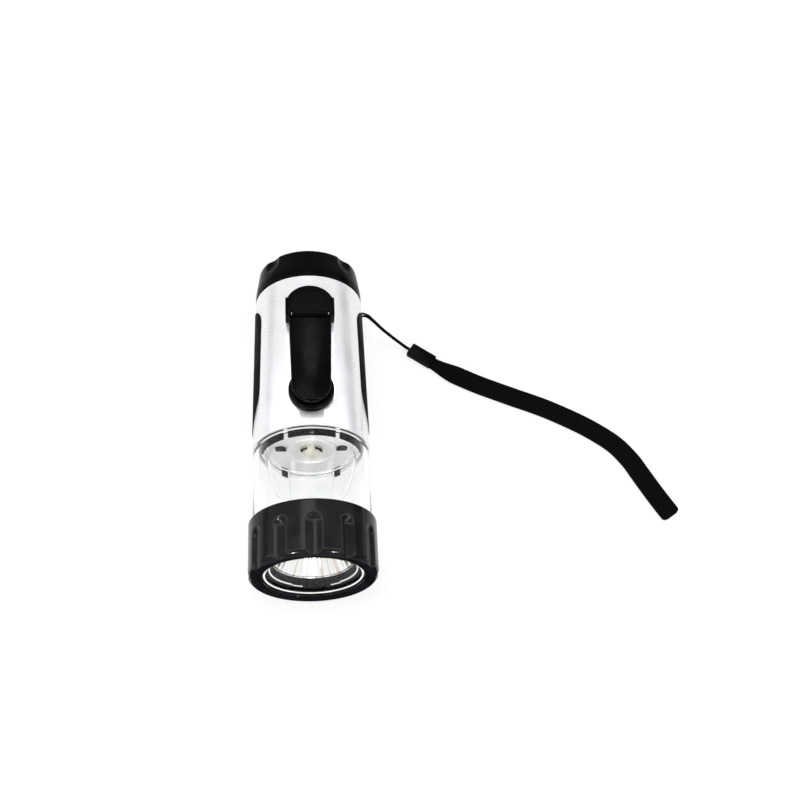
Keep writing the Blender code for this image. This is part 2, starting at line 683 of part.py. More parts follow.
def build_shells(sinks):
    """Upper shell with the crank's land, and lower shell with ribs, posts and lanyard bridge."""
    screw_hole = SCREW_RADIUS + GAP
    upper = barrel_solid("upper_shell", SILVER)
    land = outline(
        "land_solid",
        pill(LAND_HALF, KNOB_STATION, CRANK_AXIS),
        LAND_TOP - LAND_DEPTH,
        LAND_TOP,
    )
    relief = outline(
        "land_relief",
        pill(LAND_HALF, KNOB_STATION, CRANK_AXIS),
        LAND_TOP,
        SHELL_FRONT_RADIUS + OVERRUN,
    )
    join(upper, land)
    cut(upper, half_space("upper_half", -1), relief)
    hollow = cavity("upper_hollow")
    for i, (x, station) in enumerate(post_places()):
        post = rod(
            f"upper_post_{i}",
            POST_RADIUS,
            (x, station, PLATE_TOP + GAP),
            (x, station, SHELL_FRONT_RADIUS),
        )
        cut(hollow, post)
    cut(upper, hollow)
    for i, (x, station) in enumerate(post_places()):
        pilot = rod(
            f"upper_pilot_{i}",
            screw_hole,
            (x, station, -OVERRUN),
            (x, station, SCREW_TOP + GAP),
        )
        cut(upper, pilot)
    bush_hole = rod(
        "bush_hole",
        SHAFT_RADIUS + 2 * GAP + BUSH_WALL,
        (0, CRANK_AXIS, LAND_TOP - LAND_DEPTH),
        (0, CRANK_AXIS, LAND_TOP + OVERRUN),
        sides=MEDIUM,
    )
    cut(upper, bush_hole, *sinks)

    lower = barrel_solid("lower_shell", SILVER)
    cut(lower, half_space("lower_half", 1))
    hollow = cavity("lower_hollow")
    for i, (x, station) in enumerate(post_places()):
        post = rod(
            f"lower_post_{i}",
            POST_RADIUS,
            (x, station, -SHELL_FRONT_RADIUS),
            (x, station, PLATE_BOTTOM - GAP),
        )
        cut(hollow, post)
    cell_end = CELL_FRONT + CELL_LENGTH
    for i, station in enumerate(
        (CELL_FRONT + CELL_LENGTH / 8, CELL_FRONT + CELL_LENGTH * 7 / 8)
    ):
        rib = rod(
            f"cell_rib_{i}",
            shell_radius(station) - SHELL_WALL / 2,
            (0, station - RIB_THICKNESS / 2, 0),
            (0, station + RIB_THICKNESS / 2, 0),
            sides=FINE,
        )
        depth = 2 * SHELL_FRONT_RADIUS
        cut(
            rib,
            block(
                f"cell_rib_top_{i}",
                (depth, RIB_THICKNESS + OVERRUN, depth),
                (0, station, RIB_TOP + depth / 2),
            ),
        )
        for j, x in enumerate(cell_places()):
            bed = rod(
                f"cell_bed_{i}_{j}",
                CELL_RADIUS + GAP,
                (x, CELL_FRONT, CELL_LEVEL),
                (x, cell_end, CELL_LEVEL),
                sides=MEDIUM,
            )
            cut(rib, bed)
        cut(hollow, rib)
    cut(lower, hollow)
    for i, (x, station) in enumerate(post_places()):
        through = rod(
            f"lower_through_{i}",
            screw_hole,
            (x, station, -SHELL_FRONT_RADIUS),
            (x, station, OVERRUN),
        )
        well = rod(
            f"lower_well_{i}",
            SCREW_HEAD_RADIUS + GAP,
            (x, station, -SHELL_FRONT_RADIUS),
            (x, station, -SCREW_LEDGE),
        )
        cut(lower, through, well)
    for i, level in enumerate(bridge_levels()):
        hole = rod(
            f"bridge_hole_{i}",
            STRING_HOLE_RADIUS,
            (SHELL_REAR_RADIUS - 3 * SHELL_WALL, BRIDGE_STATION, level),
            (SHELL_REAR_RADIUS + OVERRUN, BRIDGE_STATION, level),
        )
        cut(lower, hole)
    cut(lower, *sinks)


def bridge_levels():
    """Levels of the two lanyard holes, one loop of string apart."""
    return (BRIDGE_TOP_HOLE, BRIDGE_TOP_HOLE - 2 * STRING_LOOP_RADIUS)


def build_closing_screws():
    """The four screws that go up through the lower shell and the gear plate."""
    words = ("left_front", "left_rear", "right_front", "right_rear")
    for word, (x, station) in zip(words, post_places()):
        head_top = -SCREW_LEDGE - GAP
        profile = [
            (0, SCREW_TOP),
            (SCREW_RADIUS, SCREW_TOP),
            (SCREW_RADIUS, head_top),
            (SCREW_HEAD_RADIUS, head_top),
            (SCREW_HEAD_RADIUS, head_top - SCREW_HEAD),
            (0, head_top - SCREW_HEAD),
        ]
        turned(f"screw_{word}", profile, STEEL, COARSE, at=(x, station, 0), turn=UP)


def build_gear_plate():
    """The plate across the barrel that carries the gears and, below it, the dynamo."""
    half = PLATE_HALF_WIDTH
    points = [
        (-half, PLATE_FRONT),
        (half, PLATE_FRONT),
        (half, PLATE_REAR),
        (-half, PLATE_REAR),
    ]
    plate = outline("gear_plate", points, PLATE_BOTTOM, PLATE_TOP, STEEL)
    holes = [
        (0, CRANK_AXIS, PIVOT_RADIUS + GAP),
        (0, IDLER_AXIS, AXLE_RADIUS + GAP),
        (0, ROTOR_AXIS, ROTOR_SHAFT_RADIUS + 2 * GAP),
    ]
    holes += [(x, station, SCREW_RADIUS + GAP) for x, station in post_places()]
    for i, (x, station, radius) in enumerate(holes):
        tool = rod(
            f"plate_hole_{i}",
            radius,
            (x, station, PLATE_BOTTOM - OVERRUN),
            (x, station, PLATE_TOP + OVERRUN),
        )
        cut(plate, tool)


def gear_points(teeth, phase, bore=0.0):
    """One involute gear's outline, with a tooth at the phase angle."""
    pitch = GEAR_MODULE * teeth / 2
    base = pitch * math.cos(PRESSURE_ANGLE)
    root = pitch - DEDENDUM_SHARE * GEAR_MODULE
    tip = pitch + ADDENDUM_SHARE * GEAR_MODULE
    start = max(base, root)

    def involute(radius):
        angle = math.acos(min(1.0, base / radius))
        return math.tan(angle) - angle

    half_pitch = math.pi / (2 * teeth) - TOOTH_BACKLASH / (2 * 2 * pitch)
    flank = []
    for share in (0.0, 1.0):
        radius = start + (tip - start) * share
        flank.append((radius, half_pitch + involute(pitch) - involute(radius)))
    points = []
    for i in range(teeth):
        middle = phase + 2 * math.pi * i / teeth
        side = [(root, -flank[0][1])] + [(radius, -half) for radius, half in flank]
        side += [(radius, half) for radius, half in reversed(flank)]
        side += [(root, flank[0][1])]
        if start == root:
            side = side[1:-1]
        points += [
            (r * math.cos(middle + a), r * math.sin(middle + a)) for r, a in side
        ]
    return points


def build_gears():
    """Crank gear, compound idler and rotor pinion, in mesh along the torch's axis."""
    front = -math.pi / 2
    drive = outline(
        "drive_gear",
        gear_points(DRIVE_TEETH, front),
        UPPER_GEAR_LEVEL,
        UPPER_GEAR_LEVEL + GEAR_FACE,
        ACETAL,
    )
    drive.location = (0, CRANK_AXIS, 0)
    cut(drive, bore_tool("drive_bore", CRANK_AXIS, SHAFT_RADIUS + GAP))

    rear_gap = math.pi / 2 + math.pi / PINION_TEETH
    idler = outline(
        "idler_gear",
        gear_points(IDLER_TEETH, front),
        LOWER_GEAR_LEVEL,
        LOWER_GEAR_LEVEL + GEAR_FACE,
        ACETAL,
    )
    idler.location = (0, IDLER_AXIS, 0)
    pinion = outline(
        "idler_pinion",
        gear_points(PINION_TEETH, rear_gap),
        LOWER_GEAR_LEVEL + GEAR_FACE / 2,
        UPPER_GEAR_LEVEL + GEAR_FACE,
    )
    pinion.location = (0, IDLER_AXIS, 0)
    join(idler, pinion)
    cut(idler, bore_tool("idler_bore", IDLER_AXIS, AXLE_RADIUS + GAP))

    rotor_pinion = outline(
        "rotor_pinion",
        gear_points(PINION_TEETH, rear_gap),
        LOWER_GEAR_LEVEL,
        LOWER_GEAR_LEVEL + GEAR_FACE,
        BRASS,
    )
    rotor_pinion.location = (0, ROTOR_AXIS, 0)
    cut(rotor_pinion, bore_tool("rotor_bore", ROTOR_AXIS, ROTOR_SHAFT_RADIUS + GAP))


def bore_tool(name, station, radius):
    """A vertical cutter right through the gears' levels."""
    return rod(
        name, radius, (0, station, 0), (0, station, UPPER_GEAR_LEVEL + 2 * GEAR_FACE)
    )


def build_idler_axle():
    """The pin that the idler turns on, riveted in the plate, with its clip."""
    under = PLATE_BOTTOM - GAP
    collar = PLATE_TOP + GAP
    collar_top = LOWER_GEAR_LEVEL - GAP
    gear_top = UPPER_GEAR_LEVEL + GEAR_FACE
    top = gear_top + 2 * GAP + CLIP_THICKNESS + GAP
    profile = [
        (0, top),
        (AXLE_RADIUS, top),
        (AXLE_RADIUS, collar_top),
        (AXLE_HEAD_RADIUS, collar_top),
        (AXLE_HEAD_RADIUS, collar),
        (AXLE_RADIUS, collar),
        (AXLE_RADIUS, under),
        (AXLE_HEAD_RADIUS, under),
        (AXLE_HEAD_RADIUS, under - AXLE_HEAD),
        (0, under - AXLE_HEAD),
    ]
    place = (0, IDLER_AXIS, 0)
    turned("idler_axle", profile, STEEL, COARSE, at=place, turn=UP)
    clip_bottom = gear_top + GAP
    clip = [
        (AXLE_HEAD_RADIUS, clip_bottom + CLIP_THICKNESS),
        (AXLE_HEAD_RADIUS, clip_bottom),
        (AXLE_RADIUS + GAP, clip_bottom),
        (AXLE_RADIUS + GAP, clip_bottom + CLIP_THICKNESS),
    ]
    turned("idler_clip", clip, STEEL, COARSE, at=place, turn=UP)


def build_dynamo():
    """The dynamo's can and winding under the plate, and the magnet that turns in it."""
    top = PLATE_BOTTOM - GAP
    bottom = top - DYNAMO_HEIGHT
    place = (0, ROTOR_AXIS, 0)
    inner = DYNAMO_RADIUS - DYNAMO_WALL
    neck = ROTOR_SHAFT_RADIUS + 2 * GAP
    can = [
        (neck, top),
        (DYNAMO_RADIUS, top),
        (DYNAMO_RADIUS, bottom),
        (0, bottom),
        (0, bottom + DYNAMO_WALL),
        (inner, bottom + DYNAMO_WALL),
        (inner, top - DYNAMO_WALL),
        (neck, top - DYNAMO_WALL),
    ]
    open_can = can[4:] + can[:4]
    turned("dynamo_can", open_can, STEEL, MEDIUM, at=place, turn=UP)
    stator_top = top - DYNAMO_WALL - GAP
    stator_bottom = bottom + DYNAMO_WALL + GAP
    outer = inner - GAP
    stator = [
        (outer, stator_top),
        (outer, stator_bottom),
        (outer - STATOR_THICKNESS, stator_bottom),
        (outer - STATOR_THICKNESS, stator_top),
    ]
    turned("dynamo_winding", stator, COPPER, MEDIUM, at=place, turn=UP)
    magnet_bottom = (stator_top + stator_bottom - MAGNET_HEIGHT) / 2
    magnet_top = magnet_bottom + MAGNET_HEIGHT
    shaft_top = LOWER_GEAR_LEVEL + GEAR_FACE + GAP
    rotor = [
        (0, shaft_top),
        (ROTOR_SHAFT_RADIUS, shaft_top),
        (ROTOR_SHAFT_RADIUS, magnet_top),
        (MAGNET_RADIUS, magnet_top),
        (MAGNET_RADIUS, magnet_bottom),
        (ROTOR_SHAFT_RADIUS, magnet_bottom),
        (ROTOR_SHAFT_RADIUS, stator_bottom),
        (0, stator_bottom),
    ]
    turned("dynamo_rotor", rotor, STEEL, MEDIUM, at=place, turn=UP)


def build_crank_shaft():
    """Flanged bush in the land, square-topped shaft and its clip under the bush."""
    place = (0, CRANK_AXIS, 0)
    bore = SHAFT_RADIUS + GAP
    sleeve = bore + BUSH_WALL
    flange = sleeve + BUSH_FLANGE
    flange_top = LAND_TOP - BUSH_DROP
    bottom = flange_top - BUSH_FLANGE_THICKNESS
    bush = [
        (sleeve, LAND_TOP),
        (sleeve, flange_top),
        (flange, flange_top),
        (flange, bottom),
        (bore, bottom),
        (bore, LAND_TOP),
    ]
    turned("crank_bush", bush, BRASS, MEDIUM, at=place, turn=UP)
    shoulder = PLATE_TOP + GAP
    square_top = CRANK_TOP - 2 * RIVET_HEAD
    round_top = CRANK_BOTTOM - GAP
    profile = [
        (0, round_top),
        (SHAFT_RADIUS, round_top),
        (SHAFT_RADIUS, shoulder),
        (PIVOT_RADIUS, shoulder),
        (PIVOT_RADIUS, PLATE_BOTTOM),
        (0, PLATE_BOTTOM),
    ]
    shaft = turned("crank_shaft", profile, STEEL, MEDIUM, at=place, turn=UP)
    square = block(
        "shaft_square",
        (SHAFT_SQUARE, SHAFT_SQUARE, square_top - round_top + OVERRUN),
        (0, CRANK_AXIS, (square_top + round_top - OVERRUN) / 2),
    )
    join(shaft, square)
    clip_top = bottom - GAP
    clip = [
        (CLIP_RADIUS, clip_top),
        (CLIP_RADIUS, clip_top - CLIP_THICKNESS),
        (bore, clip_top - CLIP_THICKNESS),
        (bore, clip_top),
    ]
    turned("shaft_clip", clip, STEEL, MEDIUM, at=place, turn=UP)


def across(name, radius, half_from, half_to, sides=COARSE):
    """A cylinder along the hinge line between two X positions."""
    return rod(
        name,
        radius,
        (half_from, HINGE_STATION, HINGE_LEVEL),
        (half_to, HINGE_STATION, HINGE_LEVEL),
        sides=sides,
    )


def build_crank():
    """Hub, hinge pin, folding arm, rivet and knob."""
    hub_front = HINGE_STATION + GAP
    ear_rear = CRANK_AXIS + HUB_EAR
    ear_turn = math.degrees(math.asin(HUB_EAR / HUB_RADIUS))
    points = [(-HUB_RADIUS, hub_front), (HUB_RADIUS, hub_front), (HUB_RADIUS, ear_rear)]
    points += arc(
        0, CRANK_AXIS, HUB_RADIUS, ear_turn, 180 - ear_turn, 2 * ARC_STEPS
    )
    points.append((-HUB_RADIUS, ear_rear))
    hub = outline("crank_hub", points, CRANK_BOTTOM, CRANK_TOP, BLACK)
    soften(hub, EDGE_ROUNDING)
    clearance = KNUCKLE_RADIUS + GAP
    outer_start = KNUCKLE_HALF + GAP
    outer_end = HUB_RADIUS - 2 * EDGE_ROUNDING
    for side in (-1, 1):
        knuckle = across(
            f"hub_knuckle_{side}", KNUCKLE_RADIUS, side * outer_start, side * outer_end
        )
        join(hub, knuckle)
    pocket = SHAFT_SQUARE + 2 * GAP
    pocket_top = CRANK_TOP - 2 * RIVET_HEAD + GAP
    cut(
        hub,
        across("hub_notch", clearance, -outer_start, outer_start),
        across("hub_pin_hole", PIN_RADIUS + GAP, -HUB_RADIUS, HUB_RADIUS),
        block(
            "hub_pocket",
            (pocket, pocket, pocket_top - CRANK_BOTTOM + OVERRUN),
            (0, CRANK_AXIS, (pocket_top + CRANK_BOTTOM - OVERRUN) / 2),
        ),
    )
    pin_half = outer_end - GAP
    rod(
        "hinge_pin",
        PIN_RADIUS,
        (-pin_half, HINGE_STATION, HINGE_LEVEL),
        (pin_half, HINGE_STATION, HINGE_LEVEL),
        STEEL,
    )

    arm_rear = HINGE_STATION - GAP
    points = [(ARM_REAR_HALF, arm_rear), (-ARM_REAR_HALF, arm_rear)]
    points += arc(0, KNOB_STATION, ARM_END_RADIUS, 180, 360, 2 * ARC_STEPS)
    arm = outline("crank_arm", points, ARM_BOTTOM, CRANK_TOP, BLACK)
    soften(arm, EDGE_ROUNDING)
    join(arm, across("arm_knuckle", KNUCKLE_RADIUS, -KNUCKLE_HALF, KNUCKLE_HALF))
    for side in (-1, 1):
        cut(
            arm,
            across(
                f"arm_notch_{side}",
                clearance,
                side * KNUCKLE_HALF,
                side * (HUB_RADIUS + OVERRUN),
            ),
        )
    rivet_top = CRANK_TOP - SHELL_EDGE - GAP
    cut(
        arm,
        across("arm_pin_hole", PIN_RADIUS + GAP, -HUB_RADIUS, HUB_RADIUS),
        rod(
            "arm_rivet_hole",
            RIVET_RADIUS + GAP,
            (0, KNOB_STATION, ARM_BOTTOM - OVERRUN),
            (0, KNOB_STATION, rivet_top + GAP),
        ),
    )

    knob_top = CRANK_BOTTOM + KNOB_HEIGHT
    place = (0, KNOB_STATION, 0)
    sink = RIVET_HEAD + 2 * GAP
    ledge = CRANK_BOTTOM + sink
    knob = [
        (KNOB_RADIUS - KNOB_ROUNDING, knob_top),
        (KNOB_RADIUS, knob_top - KNOB_ROUNDING),
        (KNOB_RADIUS, CRANK_BOTTOM + KNOB_ROUNDING),
        (KNOB_RADIUS - KNOB_ROUNDING, CRANK_BOTTOM),
        (RIVET_HEAD_RADIUS + GAP, CRANK_BOTTOM),
        (RIVET_HEAD_RADIUS + GAP, ledge),
        (RIVET_RADIUS + GAP, ledge),
        (RIVET_RADIUS + GAP, knob_top),
    ]
    turned("crank_knob", knob, BLACK, MEDIUM, at=place, turn=UP)
    head_bottom = CRANK_BOTTOM + GAP
    head_top = head_bottom + RIVET_HEAD
    rivet = [
        (0, rivet_top),
        (RIVET_RADIUS, rivet_top),
        (RIVET_RADIUS, head_top),
        (RIVET_HEAD_RADIUS, head_top),
        (RIVET_HEAD_RADIUS, head_bottom),
        (0, head_bottom),
    ]
    turned("knob_rivet", rivet, STEEL, COARSE, at=place, turn=UP)


def build_cells():
    """Three rechargeable cells side by side in the ribs of the lower shell."""
    tip_start = CELL_FRONT + CELL_TIP
    for word, x in zip(("left", "middle", "right"), cell_places()):
        end = CELL_FRONT + CELL_LENGTH
        profile = [
            (0, CELL_FRONT),
            (CELL_TIP_RADIUS, CELL_FRONT),
            (CELL_TIP_RADIUS, tip_start),
            (CELL_RADIUS, tip_start),
            (CELL_RADIUS, end),
            (0, end),
        ]
        turned(f"battery_cell_{word}", profile, CELL, MEDIUM, at=(x, 0, CELL_LEVEL))


def build_tail():
    """Tail board, switch with its stem, rubber button and fluted cap."""
    board_front = SHOULDER_REAR + GAP
    board_rear = board_front + BOARD_THICKNESS
    radius = NECK_RADIUS - NECK_WALL - GAP
    turned(
        "tail_board",
        [(0, board_rear), (radius, board_rear), (radius, board_front), (0, board_front)],
        GREEN,
    )
    switch_front = board_rear + GAP
    switch_rear = switch_front + SWITCH_DEPTH
    switch = block(
        "tail_switch",
        (SWITCH_SIZE, SWITCH_DEPTH, SWITCH_SIZE),
        (0, (switch_front + switch_rear) / 2, 0),
        BLACK,
    )
    stem_front = switch_rear - STEM_INSIDE
    stem_rear = stem_front + STEM_LENGTH
    hole_end = switch_rear - STEM_LENGTH
    cut(
        switch,
        rod(
            "switch_hole",
            STEM_RADIUS + GAP,
            (0, hole_end, 0),
            (0, switch_rear + OVERRUN, 0),
        ),
    )
    rod("switch_stem", STEM_RADIUS, (0, stem_front, 0), (0, stem_rear, 0), WHITE)

    cap_inside = REAR - CAP_END_WALL
    flange_rear = cap_inside - GAP
    flange_front = flange_rear - BUTTON_FLANGE
    tip = REAR - BUTTON_RECESS
    boss = STEM_RADIUS + 2 * GAP
    button = [
        (0, tip),
        (BUTTON_RADIUS - BUTTON_ROUNDING, tip),
        (BUTTON_RADIUS, tip - BUTTON_ROUNDING),
        (BUTTON_RADIUS, flange_rear),
        (BUTTON_FLANGE_RADIUS, flange_rear),
        (BUTTON_FLANGE_RADIUS, flange_front),
        (boss, flange_front),
        (boss, stem_rear + GAP),
        (0, stem_rear + GAP),
    ]
    turned("tail_button", button, RUBBER, MEDIUM)

    hole = BUTTON_RADIUS + GAP
    inner = CAP_RADIUS - CAP_WALL
    cap = [
        (CAP_RADIUS, CAP_FRONT),
        (CAP_RADIUS, CAP_FRONT + CAP_FLUTE_START),
        (CAP_REAR_RADIUS, REAR - CAP_ROUNDING),
        (CAP_REAR_RADIUS - CAP_ROUNDING, REAR),
        (hole, REAR),
        (hole, cap_inside),
        (CAP_REAR_RADIUS - CAP_WALL, cap_inside),
        (inner, NECK_END + GAP),
        (inner, CAP_FRONT),
    ]
    body = turned("tail_cap", cap, BLACK)
    cut(
        body,
        *flute_cutters(
            "cap_flute",
            CAP_FLUTES,
            math.pi / CAP_FLUTES,
            CAP_FLUTE_RADIUS,
            CAP_FLUTE_DEPTH,
            CAP_RADIUS,
            CAP_FRONT + CAP_FLUTE_START,
            REAR + 2 * CAP_FLUTE_RADIUS,
            CAP_TAPER,
        ),
    )


def lamp_profile(radius, height, rim, face):
    """A round-nosed lamp standing forward from a face: rim, body and dome."""
    steps = ARC_STEPS // 2
    nose = face - height
    dome = [
        (
            radius * math.sin(math.pi / 2 * i / steps),
            nose + radius * (1 - math.cos(math.pi / 2 * i / steps)),
        )
        for i in range(steps + 1)
    ]
    return dome + [(radius, face - rim), (radius + rim, face - rim), (radius + rim, face), (0, face)]


def build_lantern():
    """Clear tube, black collar, white dish, board, lamps, clear dome and conductors."""
    main_bore = GLOBE_RADIUS - GLOBE_WALL
    step = GAP + SPIGOT_WALL / 2
    spigot_rear = GLOBE_REAR + SPIGOT_LENGTH
    globe = [
        (GLOBE_RADIUS, GLOBE_REAR),
        (GLOBE_RADIUS, GLOBE_FRONT),
        (FRONT_SPIGOT, GLOBE_FRONT),
        (FRONT_SPIGOT, FRONT_SPIGOT_END),
        (FRONT_BORE, FRONT_SPIGOT_END),
        (FRONT_BORE, GLOBE_FRONT + step),
        (main_bore, GLOBE_FRONT + 2 * step),
        (main_bore, GLOBE_REAR - 2 * step),
        (SPIGOT_BORE, GLOBE_REAR - step),
        (SPIGOT_BORE, spigot_rear),
        (SPIGOT_RADIUS, spigot_rear),
        (SPIGOT_RADIUS, GLOBE_REAR),
    ]
    turned("lantern_globe", globe, CLEAR)

    collar_rear = DISH_FRONT - GAP
    collar_front = collar_rear - COLLAR_LENGTH
    collar_outer = SPIGOT_BORE - GAP
    collar_inner = collar_outer - COLLAR_WALL
    collar = turned(
        "lantern_collar",
        [
            (collar_outer, collar_rear),
            (collar_outer, collar_front),
            (collar_inner, collar_front),
            (collar_inner, collar_rear),
        ],
        BLACK,
    )
    slot_rear = collar_rear - COLLAR_BASE
    slot_length = COLLAR_LENGTH
    for i in range(COLLAR_SLOTS):
        turn = COLLAR_SLOT_TURN + 2 * math.pi * i / COLLAR_SLOTS
        slot = block(
            f"collar_slot_{i}",
            (COLLAR_SLOT, slot_length, 4 * COLLAR_WALL),
            (
                collar_outer * math.sin(turn),
                slot_rear - slot_length / 2,
                collar_outer * math.cos(turn),
            ),
        )
        slot.rotation_euler = (0, turn, 0)
        cut(collar, slot)

    turned(
        "lantern_board",
        [
            (0, LANTERN_BOARD_REAR),
            (DISH_RADIUS, LANTERN_BOARD_REAR),
            (DISH_RADIUS, LANTERN_BOARD_FRONT),
            (0, LANTERN_BOARD_FRONT),
        ],
        GREEN,
    )
    lamp_hole = LAMP_RADIUS + LAMP_RIM + GAP
    ring_outer = DISH_RING_RADIUS + DISH_RING_WIDTH / 2
    ring_inner = DISH_RING_RADIUS - DISH_RING_WIDTH / 2
    ring_front = DISH_FRONT - DISH_RING_RISE
    turned(
        "lantern_dish",
        [
            (DISH_RADIUS, DISH_REAR),
            (DISH_RADIUS, DISH_FRONT),
            (ring_outer, DISH_FRONT),
            (ring_outer, ring_front),
            (ring_inner, ring_front),
            (ring_inner, DISH_FRONT),
            (lamp_hole, DISH_FRONT),
            (lamp_hole, DISH_REAR),
        ],
        WHITE,
    )
    face = LANTERN_BOARD_FRONT - GAP
    profile = lamp_profile(LAMP_RADIUS, LAMP_HEIGHT, LAMP_RIM, face)
    turned("lantern_lamp", profile, AMBER, MEDIUM)

    base = ring_front - GAP
    steps = ARC_STEPS
    angles = [math.pi / 2 * i / steps for i in range(steps + 1)]
    outer = [
        (DOME_RADIUS * math.sin(a), base - DOME_LENGTH * math.cos(a)) for a in angles
    ]
    inner = [
        (
            (DOME_RADIUS - DOME_WALL) * math.sin(a),
            base - (DOME_LENGTH - DOME_WALL) * math.cos(a),
        )
        for a in reversed(angles)
    ]
    turned("lantern_dome", [(0.0, outer[0][1])] + outer[1:] + inner[:-1] + [(0.0, inner[-1][1])], CLEAR, MEDIUM)

    for side, word in ((-1, "left"), (1, "right")):
        x = side * ROD_CIRCLE * math.sin(COLLAR_SLOT_TURN)
        z = -ROD_CIRCLE * math.cos(COLLAR_SLOT_TURN)
        rod(
            f"conductor_{word}",
            ROD_RADIUS,
            (x, slot_rear - GAP, z),
            (x, BULKHEAD_REAR + GAP, z),
            STEEL,
        )


def build_head():
    """Housing, torch board, lamps, reflector, bezel, gasket, lens and fluted ring."""
    socket = FRONT_SPIGOT + GAP
    housing = [
        (0, BULKHEAD_REAR),
        (socket, BULKHEAD_REAR),
        (socket, HOUSING_REAR),
        (HOUSING_RADIUS, HOUSING_REAR),
        (HOUSING_RADIUS, HOUSING_FACE),
        (HOUSING_BORE, HOUSING_FACE),
        (HOUSING_BORE, REFLECTOR_SEAT),
        (HOUSING_INNER, REFLECTOR_SEAT),
        (HOUSING_INNER, BULKHEAD_FRONT),
        (0, BULKHEAD_FRONT),
    ]
    turned("head_housing", housing, WHITE)
    board_rear = BULKHEAD_FRONT - GAP
    turned(
        "torch_board",
        [
            (0, board_rear),
            (TORCH_BOARD_RADIUS, board_rear),
            (TORCH_BOARD_RADIUS, TORCH_BOARD_FRONT),
            (0, TORCH_BOARD_FRONT),
        ],
        GREEN,
        MEDIUM,
    )
    for i, word in enumerate(("top", "right", "left")):
        turn = 2 * math.pi * i / TORCH_LAMPS
        profile = lamp_profile(
            TORCH_LAMP_RADIUS, TORCH_LAMP_HEIGHT, GAP, TORCH_BOARD_FRONT - GAP
        )
        at = (
            TORCH_LAMP_CIRCLE * math.sin(turn),
            0,
            TORCH_LAMP_CIRCLE * math.cos(turn),
        )
        turned(f"torch_lamp_{word}", profile, AMBER, COARSE, at=at)

    flange_rear = REFLECTOR_SEAT - GAP
    flange_front = flange_rear - REFLECTOR_WALL
    flange_edge = HOUSING_BORE - GAP
    steps = ARC_STEPS
    bowl_out, bowl_in = [], []
    for i in range(steps + 1):
        share = i / steps
        radius = REFLECTOR_THROAT + (REFLECTOR_MOUTH - REFLECTOR_THROAT) * share
        rise = REFLECTOR_DEPTH * share * (REFLECTOR_THROAT + radius)
        rise /= REFLECTOR_THROAT + REFLECTOR_MOUTH
        station = flange_front + REFLECTOR_DEPTH - rise
        bowl_in.append((radius, station))
        bowl_out.append((radius + REFLECTOR_WALL, station + REFLECTOR_WALL / 2))
    bowl_out = [p for p in bowl_out if p[1] > flange_rear + GAP]
    reflector = bowl_in + [(flange_edge, flange_front), (flange_edge, flange_rear)]
    reflector += [(bowl_out[-1][0] + REFLECTOR_WALL, flange_rear)]
    reflector += list(reversed(bowl_out))
    turned("torch_reflector", reflector, CHROME)

    bezel_rear = flange_front - GAP
    outer = LENS_RADIUS
    bezel = [
        (BEZEL_MOUTH, BEZEL_FRONT),
        (outer, BEZEL_FRONT),
        (outer, BEZEL_SEAT),
        (HOUSING_BORE - GAP, BEZEL_SEAT),
        (HOUSING_BORE - GAP, bezel_rear),
        (REFLECTOR_MOUTH, bezel_rear),
    ]
    turned("lens_bezel", bezel, BLACK)
    turned(
        "lens_gasket",
        [
            (LENS_RADIUS, GASKET_REAR),
            (LENS_RADIUS, GASKET_FRONT),
            (LENS_RADIUS - GASKET_WIDTH, GASKET_FRONT),
            (LENS_RADIUS - GASKET_WIDTH, GASKET_REAR),
        ],
        RUBBER,
    )
    turned(
        "lens",
        [(0, LENS_REAR), (LENS_RADIUS, LENS_REAR), (LENS_RADIUS, LENS_FRONT), (0, LENS_FRONT)],
        CLEAR,
    )

    lens_bore = LENS_RADIUS + GAP
    thread_bore = HOUSING_RADIUS + GAP
    rounding = arc(
        HEAD_RADIUS - RIM_ROUNDING, FRONT + RIM_ROUNDING, RIM_ROUNDING, 0, -90, 3
    )
    ring = [
        (HEAD_RADIUS - HEAD_REAR_ROUNDING, HEAD_REAR),
        (HEAD_RADIUS, HEAD_REAR - HEAD_REAR_ROUNDING),
        *rounding,
        (RIM_OPENING, FRONT),
        (RIM_OPENING, FRONT + RIM_THICKNESS),
        (lens_bore, FRONT + RIM_THICKNESS),
        (lens_bore, GASKET_REAR),
        (thread_bore, GASKET_REAR),
        (thread_bore, HEAD_REAR),
    ]
    head = turned("head_ring", ring, BLACK)
    cut(
        head,
        *flute_cutters(
            "head_flute",
            HEAD_FLUTES,
            0.0,
            HEAD_FLUTE_RADIUS,
            HEAD_FLUTE_DEPTH,
            HEAD_RADIUS,
            FRONT - OVERRUN - HEAD_FLUTE_RADIUS,
            HEAD_REAR - HEAD_FLUTE_START,
        ),
    )


# The string's route: out of the crimp, up to the upper hole, round the bridge inside the
# wall and back from the lower hole to the crimp
STRING_ROUTE = [
    (49.90, 51.69, 2.57), (48.54, 52.35, 2.75), (46.10, 53.78, 3.80), (41.45, 55.75, 7.04),
    (36.66, 56.88, 11.97), (33.75, 57.38, 15.73), (30.90, 57.70, 19.81),
    (28.55, 58.17, 22.70), (25.40, 58.55, 23.85), (23.60, 58.55, 23.85),
    (22.00, 58.55, 23.85), (21.12, 58.55, 23.48), (20.75, 58.55, 22.60),
    (21.12, 58.55, 21.72), (22.00, 58.55, 21.35), (23.60, 58.55, 21.35),
    (25.40, 58.55, 21.35), (27.61, 58.58, 21.10), (29.97, 58.25, 18.99),
    (32.95, 57.88, 15.07), (35.91, 57.34, 11.23), (40.82, 56.16, 6.16),
    (45.65, 54.11, 2.80), (48.30, 52.56, 1.65), (49.93, 51.72, 1.43),
]
CRIMP_MOUTH = Vector((50.2, 51.5))
CRIMP_TAIL = Vector((61.0, 43.7))
